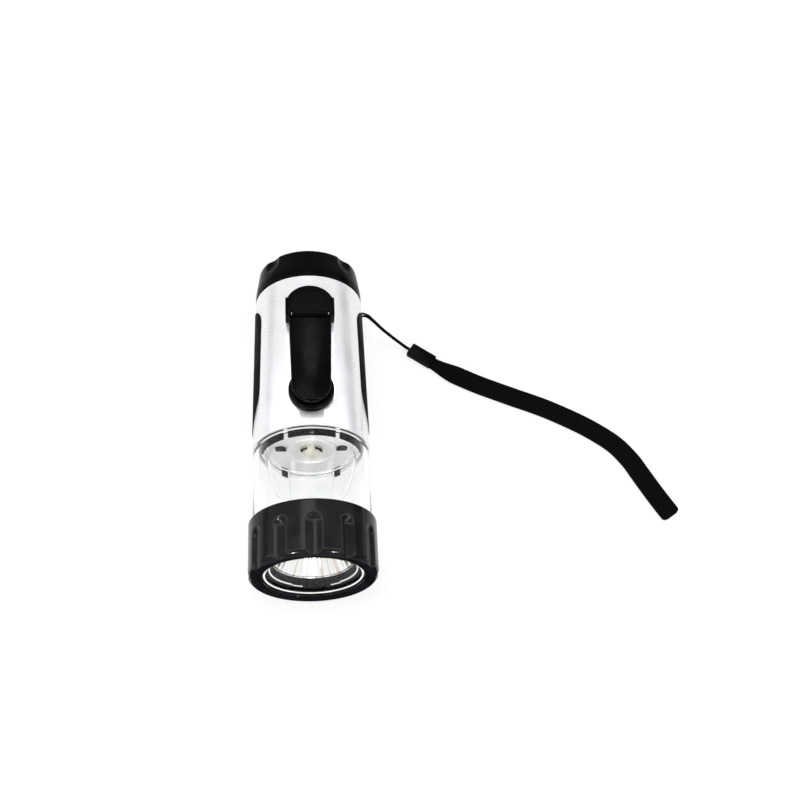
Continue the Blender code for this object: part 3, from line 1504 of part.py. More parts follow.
# The webbing's middle line on the ground, from the crimp to its folded end
WEBBING_ROUTE = [
    (61.4, 43.4), (66.8, 39.9), (73.2, 36.3), (83.6, 31.0), (99.2, 24.2), (114.4, 17.7),
    (130.0, 9.3), (139.8, 2.7), (146.7, -3.2), (152.5, -11.0), (156.3, -18.3),
    (161.3, -28.1), (166.2, -37.0), (168.0, -39.4),
]


def smooth_route(route, spacing):
    """Points a spacing apart on a smooth curve through a route given in millimetres."""
    knots = [Vector((*p, 0.0)[:3]) * MM for p in route]
    ends = [2 * knots[0] - knots[1]] + knots + [2 * knots[-1] - knots[-2]]
    fine = []
    for i in range(1, len(ends) - 2):
        p0, p1, p2, p3 = ends[i - 1 : i + 3]
        for step in range(20):
            t = step / 20
            fine.append(
                0.5
                * (
                    2 * p1
                    + (p2 - p0) * t
                    + (2 * p0 - 5 * p1 + 4 * p2 - p3) * t**2
                    + (3 * p1 - p0 - 3 * p2 + p3) * t**3
                )
            )
    fine.append(knots[-1])
    lengths = [(b - a).length for a, b in zip(fine, fine[1:])]
    total = sum(lengths)
    count = max(2, round(total / spacing))
    points, walked, index = [fine[0]], 0.0, 0
    for k in range(1, count):
        target = total * k / count
        while walked + lengths[index] < target:
            walked += lengths[index]
            index += 1
        share = (target - walked) / lengths[index]
        points.append(fine[index].lerp(fine[index + 1], share))
    points.append(fine[-1])
    return points


def build_lanyard():
    """String through the bridge, metal crimp and the doubled webbing on the ground."""
    curve = bpy.data.curves.new("strap_string", "CURVE")
    curve.dimensions = "3D"
    curve.bevel_depth = STRING_DIAMETER / 2
    curve.bevel_resolution = 2
    curve.use_fill_caps = True
    route = smooth_route(STRING_ROUTE, STRING_DIAMETER)
    spline = curve.splines.new("POLY")
    spline.points.add(len(route) - 1)
    for point, place in zip(spline.points, route):
        point.co = (*place, 1)
    add("strap_string", curve, BLACK, on=None)

    mouth, tail = CRIMP_MOUTH * MM, CRIMP_TAIL * MM
    middle = (mouth + tail) / 2
    way = tail - mouth
    crimp = block("strap_crimp", (CRIMP_LENGTH, CRIMP_WIDTH, CRIMP_HEIGHT), (0, 0, 0), BLACK)
    crimp.parent = None
    crimp.location = (middle.x, middle.y, GAP + CRIMP_HEIGHT / 2)
    crimp.rotation_euler = (0, 0, math.atan2(way.y, way.x))
    soften(crimp, CRIMP_ROUNDING)

    centre = smooth_route(WEBBING_ROUTE, WEBBING_WIDTH / 2)
    left, right = [], []
    walked = 0.0
    for i, place in enumerate(centre):
        before, after = centre[max(i - 1, 0)], centre[min(i + 1, len(centre) - 1)]
        along = (after - before).normalized()
        if i:
            walked += (place - centre[i - 1]).length
        flare = min(1.0, walked / WEBBING_FLARE)
        flare = flare * flare * (3 - 2 * flare)
        half = (WEBBING_NECK + (WEBBING_WIDTH - WEBBING_NECK) * flare) / 2
        if i == len(centre) - 1:
            break
        left.append((place.x - along.y * half, place.y + along.x * half))
        right.append((place.x + along.y * half, place.y - along.x * half))
    for across, along_by in arc(
        half - WEBBING_ROUNDING, -WEBBING_ROUNDING, WEBBING_ROUNDING, 0, 90
    ):
        x, y = place.x + along.x * along_by, place.y + along.y * along_by
        left.append((x - along.y * across, y + along.x * across))
        right.append((x + along.y * across, y - along.x * across))
    outline(
        "strap_webbing",
        right + list(reversed(left)),
        FLOOR_CLEARANCE,
        FLOOR_CLEARANCE + WEBBING_HEIGHT,
        WEBBING,
        on=None,
    )


def build():
    """Build every piece of the torch."""
    sinks = build_grips()
    build_shells(sinks)
    build_closing_screws()
    build_gear_plate()
    build_gears()
    build_idler_axle()
    build_dynamo()
    build_crank_shaft()
    build_crank()
    build_cells()
    build_tail()
    build_lantern()
    build_head()
    build_lanyard()


build()
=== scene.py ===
"""Wind-up torch with a lantern section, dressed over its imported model.

The torch lies on its side: its own axis runs along +Y with the lens at -Y and the crank on
top, and leans a little so that the head and the tail cap both touch the ground.
"""

from __future__ import annotations

import logging
import math
from dataclasses import dataclass, field
from enum import Enum
from typing import Callable, Sequence

import bmesh
import bpy
from bpy.types import Material, NodeSocket, Object, ShaderNode
from mathutils import Matrix, Vector

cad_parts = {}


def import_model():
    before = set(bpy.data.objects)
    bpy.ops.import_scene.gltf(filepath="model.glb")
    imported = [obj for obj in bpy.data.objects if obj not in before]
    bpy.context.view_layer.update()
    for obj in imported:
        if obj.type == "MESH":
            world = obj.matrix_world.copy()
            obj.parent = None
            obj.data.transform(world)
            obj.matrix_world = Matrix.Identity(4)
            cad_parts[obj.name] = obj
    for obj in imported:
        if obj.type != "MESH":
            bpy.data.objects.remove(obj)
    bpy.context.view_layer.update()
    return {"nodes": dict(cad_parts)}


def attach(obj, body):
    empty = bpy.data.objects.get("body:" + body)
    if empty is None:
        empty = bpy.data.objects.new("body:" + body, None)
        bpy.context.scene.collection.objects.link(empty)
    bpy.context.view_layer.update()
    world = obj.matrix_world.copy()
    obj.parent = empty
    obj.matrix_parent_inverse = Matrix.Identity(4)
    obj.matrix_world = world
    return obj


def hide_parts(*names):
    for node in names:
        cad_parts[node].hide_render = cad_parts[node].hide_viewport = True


log = logging.getLogger("torch_scene")

MM = 0.001
ON_AXIS = 1e-6
FILLET_REACH = 0.49
KNOT_STEPS = 20
SIDES = ((-1, "left"), (1, "right"))
Corner = tuple[float, float, float]
Flat = tuple[float, float]
Spot = tuple[float, float, float]
Solid = bmesh.types.BMesh
Warp = Callable[[float, float, float], float]


class Body(Enum):
    """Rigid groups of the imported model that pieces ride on."""

    BARREL = "barrel"
    CRANK = "crank"
    ARM = "crank_arm"
    KNOB = "crank_knob"
    LENS_PACK = "lens_pack"
    HEAD_RING = "head_ring"
    BUTTON = "button"


class Slot(Enum):
    """The record's slots for finishes."""

    SILVER = "silver_shell"
    BLACK = "black_plastic"
    RUBBER = "grip_rubber"
    CLEAR = "clear_plastic"
    CHROME = "reflector_chrome"
    WHITE = "white_plastic"
    STEEL = "steel"
    BRASS = "brass"
    ACETAL = "gear_acetal"
    BOARD = "circuit_board"
    COPPER = "copper_winding"
    CELL = "cell_sleeve"
    LAMP = "lamp_resin"
    WEBBING = "black_webbing"


class Way(Enum):
    """The line that a turned piece is turned about."""

    TORCH = "along the torch, stations growing towards the tail"
    UP = "square to the torch, heights growing through the crank"


class Operation(Enum):
    """What a Boolean does with its tool."""

    CUT = "DIFFERENCE"
    JOIN = "UNION"
    KEEP = "INTERSECT"


Step = tuple[Operation, Solid]


@dataclass(frozen=True)
class TorchFrame:
    """Where the torch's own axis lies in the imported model, in millimetres."""

    head_radius: float = 27.5
    cap_radius: float = 25.0
    head_contact: float = -53.3
    cap_contact: float = 66.0

    @property
    def lean(self) -> float:
        """Angle between the torch's axis and the ground."""
        fall = self.head_radius - self.cap_radius
        return math.atan2(fall, self.cap_contact - self.head_contact)

    def matrix(self) -> Matrix:
        """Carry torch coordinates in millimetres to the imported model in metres.

        Returns:
            The scaling, leaning and lifting in one matrix.
        """
        lift = self.head_radius * math.cos(self.lean)
        lift += self.head_contact * math.sin(self.lean)
        place = Matrix.Translation((0, 0, lift * MM))
        return place @ Matrix.Rotation(-self.lean, 4, "X") @ Matrix.Scale(MM, 4)


FRAME = TorchFrame()


# Finishes


def toned(color: Spot, share: float) -> Spot:
    """A colour made lighter or darker by a share."""
    return tuple(min(1.0, part * share) for part in color)


class Recipe:
    """A material's nodes, kept with the sockets that the finishes feed."""

    def __init__(
        self, name: str, color: Sequence[float], roughness: float, metallic: float = 0.0
    ) -> None:
        """Start a Principled material.

        Args:
            name: The material's name.
            color: Linear red, green and blue.
            roughness: Roughness before any variation.
            metallic: Metallic value.
        """
        self.material: Material = bpy.data.materials.new(name)
        self.material.use_nodes = True
        self.nodes = self.material.node_tree.nodes
        self.links = self.material.node_tree.links
        self.shader = self.nodes["Principled BSDF"]
        self.put("Base Color", (*color[:3], 1.0))
        self.put("Roughness", roughness)
        self.put("Metallic", metallic)
        self.place = self.add("ShaderNodeTexCoord").outputs["Object"]

    def add(self, kind: str, **settings: object) -> ShaderNode:
        """Add a node and set its properties.

        Args:
            kind: The node's type.
            **settings: Properties of the node.

        Returns:
            The new node.
        """
        node = self.nodes.new(kind)
        for key, value in settings.items():
            setattr(node, key, value)
        return node

    def put(self, socket: str, value: object) -> None:
        """Set a value on the shader, or feed it from another node.

        Args:
            socket: The shader's socket.
            value: A number, a colour or another node's output.
        """
        if isinstance(value, NodeSocket):
            self.links.new(value, self.shader.inputs[socket])
        else:
            self.shader.inputs[socket].default_value = value

    def noise(
        self,
        scale: float,
        detail: float = 2.0,
        stretch: Spot = (1.0, 1.0, 1.0),
        source: NodeSocket | None = None,
    ) -> NodeSocket:
        """Soft random values over the surface.

        Args:
            scale: Features per metre.
            detail: Octaves.
            stretch: Scaling of the three directions.
            source: Coordinates, or none for the object's own.

        Returns:
            The noise value.
        """
        mapping = self.add("ShaderNodeMapping")
        mapping.inputs["Scale"].default_value = stretch
        self.links.new(source or self.place, mapping.inputs["Vector"])
        noise = self.add("ShaderNodeTexNoise")
        noise.inputs["Scale"].default_value = scale
        noise.inputs["Detail"].default_value = detail
        self.links.new(mapping.outputs["Vector"], noise.inputs["Vector"])
        return noise.outputs["Fac"]

    def spread(
        self, value: NodeSocket, low: float, high: float, start: float = 0.3, end: float = 0.7
    ) -> NodeSocket:
        """Map a range of values to another.

        Args:
            value: The input.
            low: Result at the start of the range.
            high: Result at its end.
            start: Where the range starts.
            end: Where it ends.

        Returns:
            The mapped value.
        """
        spread = self.add("ShaderNodeMapRange", interpolation_type="SMOOTHSTEP")
        for key, number in (
            ("From Min", start),
            ("From Max", end),
            ("To Min", low),
            ("To Max", high),
        ):
            spread.inputs[key].default_value = number
        self.links.new(value, spread.inputs["Value"])
        return spread.outputs["Result"]

    def tint(self, value: NodeSocket, first: Spot, second: Spot) -> None:
        """Colour the surface by a value.

        Args:
            value: Zero for the first colour, one for the second.
            first: Linear colour.
            second: Linear colour.
        """
        ramp = self.add("ShaderNodeValToRGB")
        ramp.color_ramp.elements[0].color = (*first, 1.0)
        ramp.color_ramp.elements[1].color = (*second, 1.0)
        self.links.new(value, ramp.inputs["Fac"])
        self.put("Base Color", ramp.outputs["Color"])

    def vary(
        self, value: NodeSocket, first: Spot, second: Spot, smooth: float, rough: float
    ) -> None:
        """Vary the surface's colour and roughness together by soft random values."""
        self.tint(self.spread(value, 0.0, 1.0), first, second)
        self.put("Roughness", self.spread(value, smooth, rough))

    def combine(self, first: NodeSocket, second: NodeSocket, kind: str) -> NodeSocket:
        """Combine two values.

        Args:
            first: The first value.
            second: The second value.
            kind: The Math node's operation.

        Returns:
            The result.
        """
        node = self.add("ShaderNodeMath", operation=kind)
        self.links.new(first, node.inputs[0])
        self.links.new(second, node.inputs[1])
        return node.outputs["Value"]

    def pass_light(self) -> None:
        """Let lamps and soft light through to what lies inside."""
        path = self.add("ShaderNodeLightPath")
        either = self.combine(
            path.outputs["Is Shadow Ray"], path.outputs["Is Diffuse Ray"], "MAXIMUM"
        )
        through = self.add("ShaderNodeBsdfTransparent")
        both = self.add("ShaderNodeMixShader")
        self.links.new(either, both.inputs["Fac"])
        self.links.new(self.shader.outputs["BSDF"], both.inputs[1])
        self.links.new(through.outputs["BSDF"], both.inputs[2])
        self.links.new(both.outputs["Shader"], self.nodes["Material Output"].inputs["Surface"])

    def relief(self, height: NodeSocket, depth: float, strength: float) -> None:
        """Bump the surface.

        Args:
            height: Values from 0 to 1.
            depth: Height of the relief in millimetres.
            strength: Share of it that shows.
        """
        bump = self.add("ShaderNodeBump")
        bump.inputs["Strength"].default_value = strength
        bump.inputs["Distance"].default_value = depth * MM
        self.links.new(height, bump.inputs["Height"])
        self.put("Normal", bump.outputs["Normal"])


@dataclass(frozen=True)
class SilverPaint:
    """Satin silver lacquer with fine metal flake on moulded plastic."""

    color: Spot = (0.75, 0.75, 0.77)
    roughness: float = 0.3
    metallic: float = 0.55
    flakes_per_metre: float = 3000.0
    flake_contrast: float = 0.05
    flake_relief: Flat = (0.001, 0.1)
    clouds_per_metre: float = 70.0
    smooth: float = 0.26
    rough: float = 0.36
    coat: float = 0.35
    coat_roughness: float = 0.12

    def material(self) -> Material:
        """Mix the lacquer.

        Returns:
            The material.
        """
        mix = Recipe("silver_paint", self.color, self.roughness, self.metallic)
        flake = mix.noise(self.flakes_per_metre, 1.0)
        dull = toned(self.color, 1 - self.flake_contrast)
        bright = toned(self.color, 1 + self.flake_contrast)
        mix.tint(mix.spread(flake, 0.0, 1.0), dull, bright)
        cloud = mix.noise(self.clouds_per_metre, 3.0)
        mix.put("Roughness", mix.spread(cloud, self.smooth, self.rough))
        mix.put("Coat Weight", self.coat)
        mix.put("Coat Roughness", self.coat_roughness)
        mix.relief(flake, *self.flake_relief)
        return mix.material


@dataclass(frozen=True)
class Clouded:
    """A plain surface whose tone and gloss drift in soft clouds over a fine grain."""

    name: str
    color: Spot
    smooth: float
    rough: float
    roughness: float = 0.0
    metallic: float = 0.0
    gloss: float = 0.5
    glow_through: float = 0.0
    shades: Flat = (0.85, 1.0)
    clouds: Flat = (180.0, 3.0)
    stretch: Spot = (1.0, 1.0, 1.0)
    grain: float = 1500.0
    depth: float = 0.008
    strength: float = 0.4

    def height(self, mix: Recipe, _: NodeSocket) -> NodeSocket:
        """The grain's height, which a finish may take from its clouds."""
        return mix.noise(self.grain)

    def material(self) -> Material:
        """Mix the material.

        Returns:
            The material.
        """
        mix = Recipe(self.name, self.color, self.roughness or self.rough, self.metallic)
        cloud = mix.noise(*self.clouds, self.stretch)
        low, high = (toned(self.color, share) for share in self.shades)
        mix.vary(cloud, low, high, self.smooth, self.rough)
        mix.put("Specular IOR Level", self.gloss)
        mix.put("Transmission Weight", self.glow_through)
        mix.relief(self.height(mix, cloud), self.depth, self.strength)
        return mix.material


@dataclass(frozen=True)
class MouldedBlack(Clouded):
    """Black moulded plastic, from satin to a fine spark texture, flat or crowned."""

    name: str = "moulded_black"
    color: Spot = (0.0007, 0.0006, 0.0010)
    smooth: float = 0.2
    rough: float = 0.3
    gloss: float = 0.03
    shades: Flat = (1.0, 1.8)
    clouds: Flat = (110.0, 4.0)
    grain: float = 2600.0
    depth: float = 0.012
    strength: float = 0.5
    crown: float = 0.0
    crown_half: float = 9.4

    def height(self, mix: Recipe, _: NodeSocket) -> NodeSocket:
        """The grain's height, less what a crowned face falls away beside its middle line.

        Args:
            mix: The recipe.
            _: The clouds, unused.

        Returns:
            The height in shares of the grain's depth.
        """
        grain = mix.noise(self.grain)
        if not self.crown:
            return grain
        parts = mix.add("ShaderNodeSeparateXYZ")
        mix.links.new(mix.place, parts.inputs["Vector"])
        square = mix.combine(parts.outputs["X"], parts.outputs["X"], "MULTIPLY")
        fall = mix.add("ShaderNodeMath", operation="MULTIPLY")
        mix.links.new(square, fall.inputs[0])
        fall.inputs[1].default_value = self.crown / self.depth / (self.crown_half * MM) ** 2
        return mix.combine(grain, fall.outputs["Value"], "SUBTRACT")


@dataclass(frozen=True)
class WhiteMoulding(Clouded):
    """White moulded plastic with a faint warm tone."""

    name: str = "white_moulding"
    color: Spot = (0.93, 0.93, 0.92)
    smooth: float = 0.3
    rough: float = 0.46
    roughness: float = 0.4
    shades: Flat = (0.95, 1.0)
    clouds: Flat = (60.0, 3.0)
    grain: float = 1800.0
    depth: float = 0.01


@dataclass(frozen=True)
class PlainResin(Clouded):
    """A plain moulded or cast resin: gears, cell sleeves and lamps."""


@dataclass(frozen=True)
class BareMetal(Clouded):
    """Plain metal with turning marks and small tone changes."""

    metallic: float = 1.0
    shades: Flat = (0.78, 1.0)
    clouds: Flat = (240.0, 4.0)
    stretch: Spot = (1.0, 1.0, 14.0)
    depth: float = 0.01
    strength: float = 0.3

    def height(self, _: Recipe, marks: NodeSocket) -> NodeSocket:
        """The turning marks' height."""
        return marks


@dataclass(frozen=True)
class ClearMoulding:
    """Clear acrylic with faint flow marks along the torch."""

    name: str = "clear_moulding"
    tint: Spot = (0.985, 0.99, 0.99)
    roughness: float = 0.015
    bend: float = 1.2
    haze: float = 3.0
    flow_per_metre: float = 90.0
    flow_stretch: Spot = (1.0, 0.12, 1.0)
    flow_relief: Flat = (0.02, 0.12)

    def material(self) -> Material:
        """Mix the acrylic.

        Returns:
            The material.
        """
        mix = Recipe(self.name, self.tint, self.roughness)
        mix.put("Transmission Weight", 1.0)
        mix.put("IOR", self.bend)
        flow = mix.noise(self.flow_per_metre, 2.0, self.flow_stretch)
        mix.put("Roughness", mix.spread(flow, self.roughness, self.roughness * self.haze))
        mix.relief(flow, *self.flow_relief)
        mix.pass_light()
        return mix.material


@dataclass(frozen=True)
class MirrorCoat:
    """Vacuum-coated reflector, bright with a slight orange-peel, with warm streaks of painted
    lamp reflection in its colour.
    """

    name: str = "mirror_coat"
    color: Spot = (0.96, 0.96, 0.95)
    warm: Spot = (0.74, 0.68, 0.60)
    axis_height: float = 0.0266
    roughness: float = 0.07
    smooth_share: float = 0.6
    rough_share: float = 1.8
    reflection_streaks: float = 9.0
    reflection_streak_range: Flat = (0.34, 0.52)
    peel_per_metre: float = 420.0
    peel_relief: Flat = (0.02, 0.25)

    def material(self) -> Material:
        """Mix the coating, with warm streaks down the bowl painted into its colour as reflections
        of its lamps.

        Returns:
            The material.
        """
        mix = Recipe(self.name, self.color, self.roughness, 1.0)
        flat = mix.add("ShaderNodeMapping")
        flat.inputs["Location"].default_value = (0.0, 0.0, -self.axis_height)
        flat.inputs["Scale"].default_value = (1.0, 0.0, 1.0)
        mix.links.new(mix.place, flat.inputs["Vector"])
        spoke = mix.add("ShaderNodeVectorMath", operation="NORMALIZE")
        mix.links.new(flat.outputs["Vector"], spoke.inputs[0])
        reflection_streak = mix.noise(self.reflection_streaks, 3.0, source=spoke.outputs["Vector"])
        # painted reflection: the lamps' warm streaks tinted into the base colour
        mix.tint(mix.spread(reflection_streak, 0.0, 1.0, *self.reflection_streak_range), self.warm, self.color)
        peel = mix.noise(self.peel_per_metre, 3.0)
        smooth, rough = self.roughness * self.smooth_share, self.roughness * self.rough_share
        mix.put("Roughness", mix.spread(peel, smooth, rough))
        mix.relief(peel, *self.peel_relief)
        return mix.material


@dataclass(frozen=True)
class CircuitBoard:
    """Lacquered circuit board with copper runs under the lacquer."""

    lacquer: Spot = (0.02, 0.17, 0.06)
    copper: Spot = (0.05, 0.30, 0.10)
    roughness: float = 0.35
    coat: float = 0.5
    runs_per_metre: float = 160.0
    run_width: float = 0.06
    run_relief: Flat = (0.03, 0.4)

    def material(self) -> Material:
        """Mix the board.

        Returns:
            The material.
        """
        mix = Recipe("circuit_board", self.lacquer, self.roughness)
        brick = mix.add("ShaderNodeTexBrick")
        brick.inputs["Scale"].default_value = self.runs_per_metre
        brick.inputs["Mortar Size"].default_value = self.run_width
        brick.inputs["Color1"].default_value = (*self.lacquer, 1.0)
        brick.inputs["Color2"].default_value = (*self.lacquer, 1.0)
        brick.inputs["Mortar"].default_value = (*self.copper, 1.0)
        turn = mix.add("ShaderNodeMapping")
        turn.inputs["Rotation"].default_value = (math.radians(90), 0, 0)
        mix.links.new(mix.place, turn.inputs["Vector"])
        mix.links.new(turn.outputs["Vector"], brick.inputs["Vector"])
        mix.put("Base Color", brick.outputs["Color"])
        mix.put("Coat Weight", self.coat)
        mix.relief(brick.outputs["Fac"], *self.run_relief)
        return mix.material


@dataclass(frozen=True)
class WoundCopper:
    """Enamelled winding wire, turn beside turn, darker between the turns as painted shade in the
    grooves.
    """

    color: Spot = (0.62, 0.22, 0.08)
    roughness: float = 0.35
    metallic: float = 0.9
    shade: float = 0.35
    turns_per_metre: float = 900.0
    wander: float = 1.2
    turn_relief: Flat = (0.08, 0.8)

    def material(self) -> Material:
        """Mix the winding.

        Returns:
            The material.
        """
        mix = Recipe("wound_copper", self.color, self.roughness, self.metallic)
        wave = mix.add("ShaderNodeTexWave", bands_direction="Z")
        wave.inputs["Scale"].default_value = self.turns_per_metre
        wave.inputs["Distortion"].default_value = self.wander
        mix.links.new(mix.place, wave.inputs["Vector"])
        # painted shade: the colour darkens where the bump falls between turns
        mix.tint(wave.outputs["Fac"], toned(self.color, self.shade), self.color)
        mix.relief(wave.outputs["Fac"], *self.turn_relief)
        return mix.material


@dataclass(frozen=True)
class WovenTape:
    """Black woven tape: a fine twill read from the piece's own length and width."""

    name: str = "woven_tape"
    color: Spot = (0.0004, 0.0004, 0.0005)
    thread: Spot = (0.0050, 0.0050, 0.0056)
    threads: float = 3200.0
    threads_per_wave: float = 6.0
    roughness: float = 0.75
    smooth: float = 0.6
    rough: float = 0.9
    gloss: float = 0.02
    twill: float = 32.0
    wander: float = 0.6
    fuzz_per_metre: float = 4200.0
    fuzz: float = 0.25
    weave_relief: Flat = (0.08, 0.8)

    def material(self) -> Material:
        """Mix the tape.

        Returns:
            The material.
        """
        mix = Recipe(self.name, self.color, self.roughness)
        mix.put("Specular IOR Level", self.gloss)
        cloth = mix.add("ShaderNodeTexCoord").outputs["UV"]
        waves = []
        for turn in (math.radians(self.twill), math.radians(-self.twill)):
            mapping = mix.add("ShaderNodeMapping")
            mapping.inputs["Rotation"].default_value = (0, 0, turn)
            wave = mix.add("ShaderNodeTexWave", bands_direction="X")
            wave.inputs["Scale"].default_value = self.threads / self.threads_per_wave
            wave.inputs["Distortion"].default_value = self.wander
            mix.links.new(cloth, mapping.inputs["Vector"])
            mix.links.new(mapping.outputs["Vector"], wave.inputs["Vector"])
            waves.append(wave.outputs["Fac"])
        weave = mix.combine(*waves, "MULTIPLY")
        fuzz = mix.noise(self.fuzz_per_metre, 3.0)
        mixed = mix.combine(weave, mix.spread(fuzz, -self.fuzz, self.fuzz), "ADD")
        mix.tint(mixed, self.color, self.thread)
        mix.put("Roughness", mix.spread(fuzz, self.smooth, self.rough))
        mix.relief(mixed, *self.weave_relief)
        return mix.material


@dataclass(frozen=True)
class Finish:
    """A mixed material with the record's slot that it belongs to."""

    material: Material
    slot: Slot


class Finishes:
    """Every finish of the torch, mixed once."""

    def __init__(self) -> None:
        """Mix the materials."""
        crowned = MouldedBlack(
            "crowned_black", smooth=0.14, rough=0.22, depth=0.004, strength=1.0, crown=0.35
        )
        satin = MouldedBlack(
            "satin_black", (0.0045, 0.0045, 0.0056), 0.11, 0.18, depth=0.006, gloss=0.12
        )
        glossy = MouldedBlack(
            "gloss_black", (0.0012, 0.0012, 0.0012), 0.1, 0.16, depth=0.003, gloss=0.05
        )
        dull = MouldedBlack(
            "dull_black", (0.0006, 0.0006, 0.0006), 0.4, 0.5, depth=0.001, gloss=0.0
        )
        rubber = MouldedBlack(
            "soft_rubber", (0.002, 0.002, 0.002), 0.5, 0.68, grain=3400.0, depth=0.03
        )
        lens = ClearMoulding("lens_clear", (0.99, 0.99, 0.99), 0.008, 1.16)
        self.silver = Finish(SilverPaint().material(), Slot.SILVER)
        self.black = Finish(MouldedBlack().material(), Slot.BLACK)
        self.crowned_black = Finish(crowned.material(), Slot.BLACK)
        self.satin_black = Finish(satin.material(), Slot.BLACK)
        self.gloss_black = Finish(glossy.material(), Slot.BLACK)
        self.dull_black = Finish(dull.material(), Slot.BLACK)
        self.rubber = Finish(rubber.material(), Slot.RUBBER)
        self.clear = Finish(ClearMoulding().material(), Slot.CLEAR)
        self.lens = Finish(lens.material(), Slot.CLEAR)
        self.white = Finish(WhiteMoulding().material(), Slot.WHITE)
        self.mirror = Finish(MirrorCoat().material(), Slot.CHROME)
        self.steel = self.metal("turned_steel", (0.60, 0.60, 0.61), 0.3, Slot.STEEL)
        self.brass = self.metal("brass", (0.72, 0.50, 0.22), 0.28, Slot.BRASS)
        self.acetal = self.resin("gear_acetal", (0.84, 0.83, 0.78), 0.4, 0.0, Slot.ACETAL)
        self.cell = self.resin("cell_sleeve", (0.06, 0.20, 0.36), 0.3, 0.0, Slot.CELL)
        self.lamp = self.resin("lamp_resin", (0.96, 0.93, 0.80), 0.12, 0.4, Slot.LAMP)
        self.warm_lamp = self.resin("warm_lamp", (0.95, 0.76, 0.42), 0.2, 0.3, Slot.LAMP)
        self.board = Finish(CircuitBoard().material(), Slot.BOARD)
        self.copper = Finish(WoundCopper().material(), Slot.COPPER)
        self.tape = Finish(WovenTape().material(), Slot.WEBBING)
        self.twine = Finish(WovenTape("twine", threads=2600.0).material(), Slot.WEBBING)

    @staticmethod
    def metal(name: str, color: Spot, roughness: float, slot: Slot) -> Finish:
        """A bare metal in its slot.

        Args:
            name: The material's name.
            color: Linear red, green and blue.
            roughness: Its middle roughness.
            slot: The record's slot.

        Returns:
            The finish.
        """
        smooth, rough = roughness * 0.8, roughness * 1.4
        look = BareMetal(name, color, smooth, rough, roughness)
        return Finish(look.material(), slot)

    @staticmethod
    def resin(name: str, color: Spot, roughness: float, glow: float, slot: Slot) -> Finish:
        """A plain resin in its slot.

        Args:
            name: The material's name.
            color: Linear red, green and blue.
            roughness: Its middle roughness.
            glow: Share of light that it lets through.
            slot: The record's slot.

        Returns:
            The finish.
        """
        smooth, rough = roughness * 0.8, roughness * 1.2
        look = PlainResin(name, color, smooth, rough, roughness, glow_through=glow)
        return Finish(look.material(), slot)


# Shapes, in torch millimetres


def rounded(corners: Sequence[Corner], steps: int = 4) -> list[Flat]:
    """Round the corners of a closed or open outline.

    Args:
        corners: (radius or x, station or y, fillet) of each corner, fillet 0 for a sharp one.
        steps: Straight pieces in each fillet.

    Returns:
        The outline's points.
    """
    points: list[Flat] = []
    count = len(corners)
    for i, (a, b, fillet) in enumerate(corners):
        here = Vector((a, b))
        if fillet <= 0:
            points.append((a, b))
            continue
        before = Vector(corners[i - 1][:2]) - here
        after = Vector(corners[(i + 1) % count][:2]) - here
        bend = before.angle(after)
        limit = FILLET_REACH * min(before.length, after.length)
        reach = min(fillet / math.tan(bend / 2), limit)
        radius = reach * math.tan(bend / 2)
        start = here + before.normalized() * reach
        end = here + after.normalized() * reach
        middle = here + (before.normalized() + after.normalized()).normalized() * (
            radius / math.sin(bend / 2)
        )
        first, last = start - middle, end - middle
        for step in range(steps + 1):
            share = step / steps
            spoke = (first * (1 - share) + last * share).normalized() * radius
            points.append(tuple(middle + spoke))
    return points


def arc(x: float, y: float, radius: float, start: float, end: float, steps: int) -> list[Flat]:
    """Points on an arc, angles in degrees from +X."""
    turns = [math.radians(start + (end - start) * i / steps) for i in range(steps + 1)]
    return [(x + radius * math.cos(t), y + radius * math.sin(t)) for t in turns]


def nose(radius: float, tip: float, base: float, steps: int) -> list[Flat]:
    """A rounded nose's profile: a quarter of an ellipse from its tip back to its base."""
    turns = [math.radians(90 * i / steps) for i in range(steps + 1)]
    return [(radius * math.sin(t), base - (base - tip) * math.cos(t)) for t in turns]


def hoop(inner: float, outer: float, low: float, high: float, fillet: float) -> list[Flat]:
    """Profile of a ring with rounded corners, between two radii and two stations."""
    corners = ((outer, high), (outer, low), (inner, low), (inner, high))
    return rounded([(*corner, fillet) for corner in corners])


def oblong(
    wide: float, long: float, fillet: float, steps: int, at: Flat = (0.0, 0.0)
) -> list[Flat]:
    """Outline of a rectangle with rounded corners.

    Args:
        wide: Its size in X.
        long: Its size in Y.
        fillet: Rounding of its corners.
        steps: Straight pieces in each corner.
        at: Its middle.

    Returns:
        The outline's points.
    """
    x, y = at
    signs = ((-1, -1), (1, -1), (1, 1), (-1, 1))
    return rounded([(x + i * wide / 2, y + j * long / 2, fillet) for i, j in signs], steps)


